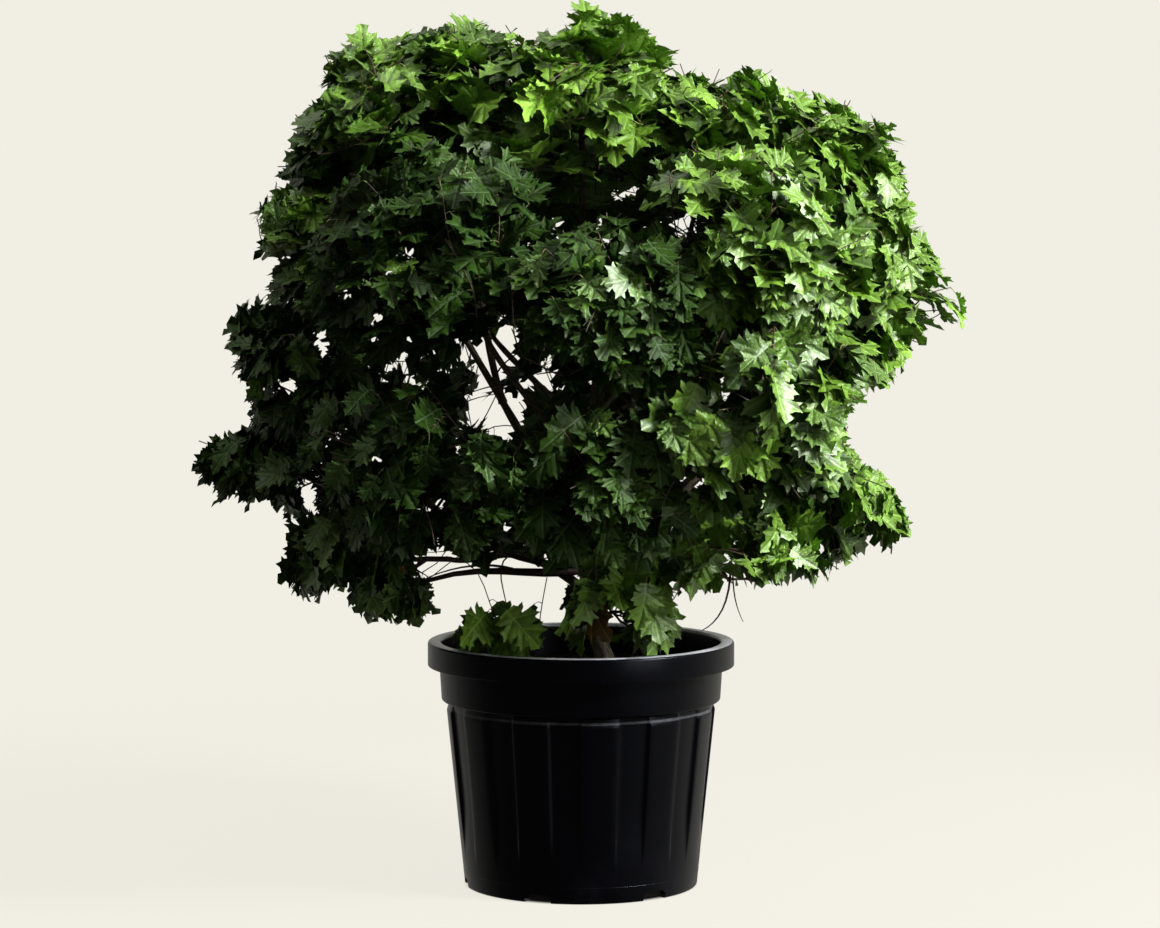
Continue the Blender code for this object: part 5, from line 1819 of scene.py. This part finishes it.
def build_petioles(settings):
    """The leaf stalks: each leaves its twig to the side and bends into its blade."""
    _, leaves = grown_crown()
    base, foot, ahead = leaves["base"], leaves["foot"], leaves["ahead"]
    bend = STALK_BEND * np.linalg.norm(foot - base, axis=1)[:, None]
    middle = 0.5 * (base + foot) + bend * (leaves["leaving"] - ahead)
    end = foot + STALK_IN_BLADE * leaves["length"][:, None] * ahead
    paths = np.stack([base, middle, end], axis=1)
    radii = np.broadcast_to(settings.petiole_radius * STALK_TAPER, paths.shape[:2])
    mesh = new_mesh("petioles", *tubes(paths, radii, STALK_SIDES))
    add_piece("petioles", mesh, stalk_material(settings.stalk, settings.flush))


def blades(leaves, picked, settings, rng):
    """The chosen leaves' blades as one shape.

    Point = foot + x * lobe reach * width * side + y * length * ahead + h * face, where the height
    is h = (fold + lobe lift) * |x| * width - sag * y^2 * length + half the thickness.
    """
    places, thick, faces, uv = leaf_pattern()
    count = len(picked)
    x, y = places[:, 0], places[:, 1]
    lobe = places[:, 2].astype(int)
    fold = rng.normal(*LEAF_FOLD, (count, 1))
    lift = rng.normal(0.0, LOBE_LIFT, (count, LOBE_COUNT))[:, lobe]
    sag = rng.normal(*LEAF_SAG, (count, 1))
    reach = rng.normal(1.0, LOBE_REACH, (count, LOBE_COUNT))[:, lobe]
    width = leaves["width"][picked][:, None]
    length = leaves["length"][picked][:, None]
    height = (fold + lift) * np.abs(x) * width - sag * y ** 2 * length + 0.5 * settings.thickness * thick
    side = np.cross(leaves["ahead"], leaves["face"])[picked][:, None]
    ahead = leaves["ahead"][picked][:, None]
    face = leaves["face"][picked][:, None]
    points = (leaves["foot"][picked][:, None] + (x * reach * width)[..., None] * side
              + (y * length)[..., None] * ahead + height[..., None] * face)
    all_faces = faces[None] + (np.arange(count) * len(places))[:, None, None]
    return points.reshape(-1, 3), [all_faces.reshape(-1, 3)], np.tile(uv.reshape(-1, 2), (count, 1))


def build_leaves(settings):
    """The leaves, one piece for each tone, split where a piece would have too many faces."""
    _, leaves = grown_crown()
    rng = np.random.default_rng(SEED + 500)
    most = PIECE_FACES // len(leaf_pattern()[2])
    for number, (tone, finish) in enumerate(LEAF_FINISHES.items()):
        material = leaf_material("leaf_" + tone, getattr(settings, tone), *finish)
        picked = np.flatnonzero(leaves["tone"] == number)
        for part in range(0, len(picked), most):
            points, faces, uv = blades(leaves, picked[part:part + most], settings, rng)
            name = f"leaves_{tone}_{part // most + 1}"
            mesh = new_mesh(name, points, faces, uv=uv)
            add_piece(name, mesh, material, FOLIAGE_NODES, crease=BLADE_CREASE)


# Stage

def build_floor(stage):
    """A round pale floor with a painted shadow under the pot, that fades into the background further out."""
    rim = ring_points(equal_turns(FLOOR_SIDES), stage.floor_radius, 0.0)
    points = np.concatenate([rim, [(0.0, 0.0, 0.0)]])
    mesh = new_mesh("floor", points, [fan_faces(np.arange(FLOOR_SIDES), FLOOR_SIDES)])
    material, graph = surface("floor_paper", base_color=scaled(stage.paper, 0.05), roughness=0.9,
                              emission_strength=1.0)
    x, y, _ = graph.parts(graph.here())
    away = (x * x + y * y) ** 0.5
    # The floor glows evenly in the paper's colour, with a dark painted shadow where the pot stands
    paper_glow_with_painted_shadow = graph.mix(away.fade(*PAINTED_SHADOW_UNDER_POT), (0.004, 0.004, 0.004), scaled(stage.paper, 0.93))
    finish_surface(graph, emission_color=paper_glow_with_painted_shadow, alpha=1.0 - away.fade(*FLOOR_FADE), specular_ior_level=0.0)
    mesh.materials.append(material)
    floor = bpy.data.objects.new("floor", mesh)
    floor.visible_diffuse = False
    floor.visible_glossy = False
    bpy.context.scene.collection.objects.link(floor)


def build_world(stage):
    """A pale background for the camera, and for the plant a room that glows most behind it, to its
    right and above it.
    """
    world = bpy.data.worlds.new("paper_room")
    bpy.context.scene.world = world
    graph = Graph(world)
    graph.tree.nodes.clear()
    way = graph.node("ShaderNodeTexCoord").outputs["Generated"]
    x, y, z = graph.parts(way)
    bright = stage.front + y.fade(-0.15, 0.75) * stage.back
    bright = bright + x.fade(0.35, 1.0) * stage.side + z.fade(0.2, 1.0) * stage.above
    seen = graph.node("ShaderNodeLightPath").outputs["Is Camera Ray"]
    room = graph.node("ShaderNodeBackground", None, {"Color": stage.room, "Strength": bright})
    paper = graph.node("ShaderNodeBackground", None, {"Color": stage.paper, "Strength": 1.0})
    mixed = graph.node("ShaderNodeMixShader", None, {0: seen, 1: room.outputs[0], 2: paper.outputs[0]})
    graph.node("ShaderNodeOutputWorld", None, {"Surface": mixed.outputs[0]})


def add_light(name, place, aim, size, power):
    """A square area light that points at a place."""
    lamp = bpy.data.lights.new(name, "AREA")
    lamp.size = size
    lamp.energy = power
    light = bpy.data.objects.new(name, lamp)
    light.location = place
    light.rotation_euler = (Vector(aim) - Vector(place)).to_track_quat("-Z", "Y").to_euler()
    bpy.context.scene.collection.objects.link(light)


def build_stage(stage):
    """Floor, background, lights and camera."""
    build_floor(stage)
    build_world(stage)
    for name, place, aim, size in LIGHTS:
        add_light(name + "_light", place, aim, size, getattr(stage, name + "_power"))
    lens = bpy.data.cameras.new("camera")
    lens.sensor_fit = "HORIZONTAL"
    lens.sensor_width = SENSOR_WIDTH
    lens.lens = SENSOR_WIDTH * FOCAL_PIXELS / PICTURE_PIXELS
    lens.clip_end = 100.0
    camera = bpy.data.objects.new("camera", lens)
    camera.location = (CAMERA_SIDE, EYE[1], EYE[2])
    camera.rotation_euler = (math.radians(90.0 - CAMERA_TILT), 0.0, 0.0)
    bpy.context.scene.collection.objects.link(camera)
    bpy.context.scene.camera = camera
    bpy.context.scene.view_settings.view_transform = "Standard"


# Operators and panel

class PINOAK_OT_pot(bpy.types.Operator):
    """Turns the ribbed pot and cuts its drain notches"""
    bl_idname = "pin_oak.pot"
    bl_label = "Pot"

    def execute(self, context):
        build_pot(context.scene.pin_oak_pot)
        return {"FINISHED"}


class PINOAK_OT_soil(bpy.types.Operator):
    """Fills the pot with soil and strews bark chips on it"""
    bl_idname = "pin_oak.soil"
    bl_label = "Soil"

    def execute(self, context):
        build_soil(context.scene.pin_oak_soil, context.scene.pin_oak_pot)
        return {"FINISHED"}


class PINOAK_OT_limbs(bpy.types.Operator):
    """Covers the trunk and the boughs with bark, and adds their bare twigs"""
    bl_idname = "pin_oak.limbs"
    bl_label = "Trunk and boughs"

    def execute(self, context):
        build_trunk(context.scene.pin_oak_bark)
        build_boughs(context.scene.pin_oak_bark)
        build_bare_twigs(context.scene.pin_oak_bark)
        return {"FINISHED"}


class PINOAK_OT_twigs(bpy.types.Operator):
    """Grows the twigs of every mass of foliage"""
    bl_idname = "pin_oak.twigs"
    bl_label = "Twigs"

    def execute(self, context):
        build_twigs(context.scene.pin_oak_leaves, context.scene.pin_oak_bark)
        return {"FINISHED"}


class PINOAK_OT_leaves(bpy.types.Operator):
    """Sets leaves and their stalks along the twigs"""
    bl_idname = "pin_oak.leaves"
    bl_label = "Leaves"

    def execute(self, context):
        build_petioles(context.scene.pin_oak_leaves)
        build_leaves(context.scene.pin_oak_leaves)
        return {"FINISHED"}


class PINOAK_OT_stage(bpy.types.Operator):
    """Makes the floor, the background, the lights and the camera"""
    bl_idname = "pin_oak.stage"
    bl_label = "Stage"

    def execute(self, context):
        build_stage(context.scene.pin_oak_stage)
        return {"FINISHED"}


OPERATORS = (
    PINOAK_OT_pot,
    PINOAK_OT_soil,
    PINOAK_OT_limbs,
    PINOAK_OT_twigs,
    PINOAK_OT_leaves,
    PINOAK_OT_stage,
)


class PINOAK_PT_panel(bpy.types.Panel):
    """Lists the pieces of the plant and their settings"""
    bl_idname = "PINOAK_PT_panel"
    bl_label = "Potted pin oak"
    bl_space_type = "VIEW_3D"
    bl_region_type = "UI"
    bl_category = "Pin oak"

    def draw(self, context):
        for operator in OPERATORS:
            self.layout.operator(operator.bl_idname)
        for key, group in SETTINGS.items():
            box = self.layout.box()
            for name in group.__annotations__:
                box.prop(getattr(context.scene, key), name)


SETTINGS = {
    "pin_oak_pot": PotSettings,
    "pin_oak_soil": SoilSettings,
    "pin_oak_bark": BarkSettings,
    "pin_oak_leaves": LeafSettings,
    "pin_oak_stage": StageSettings,
}


def register():
    for item in (*SETTINGS.values(), *OPERATORS, PINOAK_PT_panel):
        bpy.utils.register_class(item)
    for key, group in SETTINGS.items():
        setattr(bpy.types.Scene, key, PointerProperty(type=group))


def unregister():
    for key in SETTINGS:
        delattr(bpy.types.Scene, key)
    for item in (PINOAK_PT_panel, *OPERATORS, *SETTINGS.values()):
        bpy.utils.unregister_class(item)


def main():
    """Makes every piece and the stage."""
    register()
    bpy.ops.pin_oak.pot()
    bpy.ops.pin_oak.soil()
    bpy.ops.pin_oak.limbs()
    bpy.ops.pin_oak.twigs()
    bpy.ops.pin_oak.leaves()
    bpy.ops.pin_oak.stage()


if __name__ == "__main__":
    main()
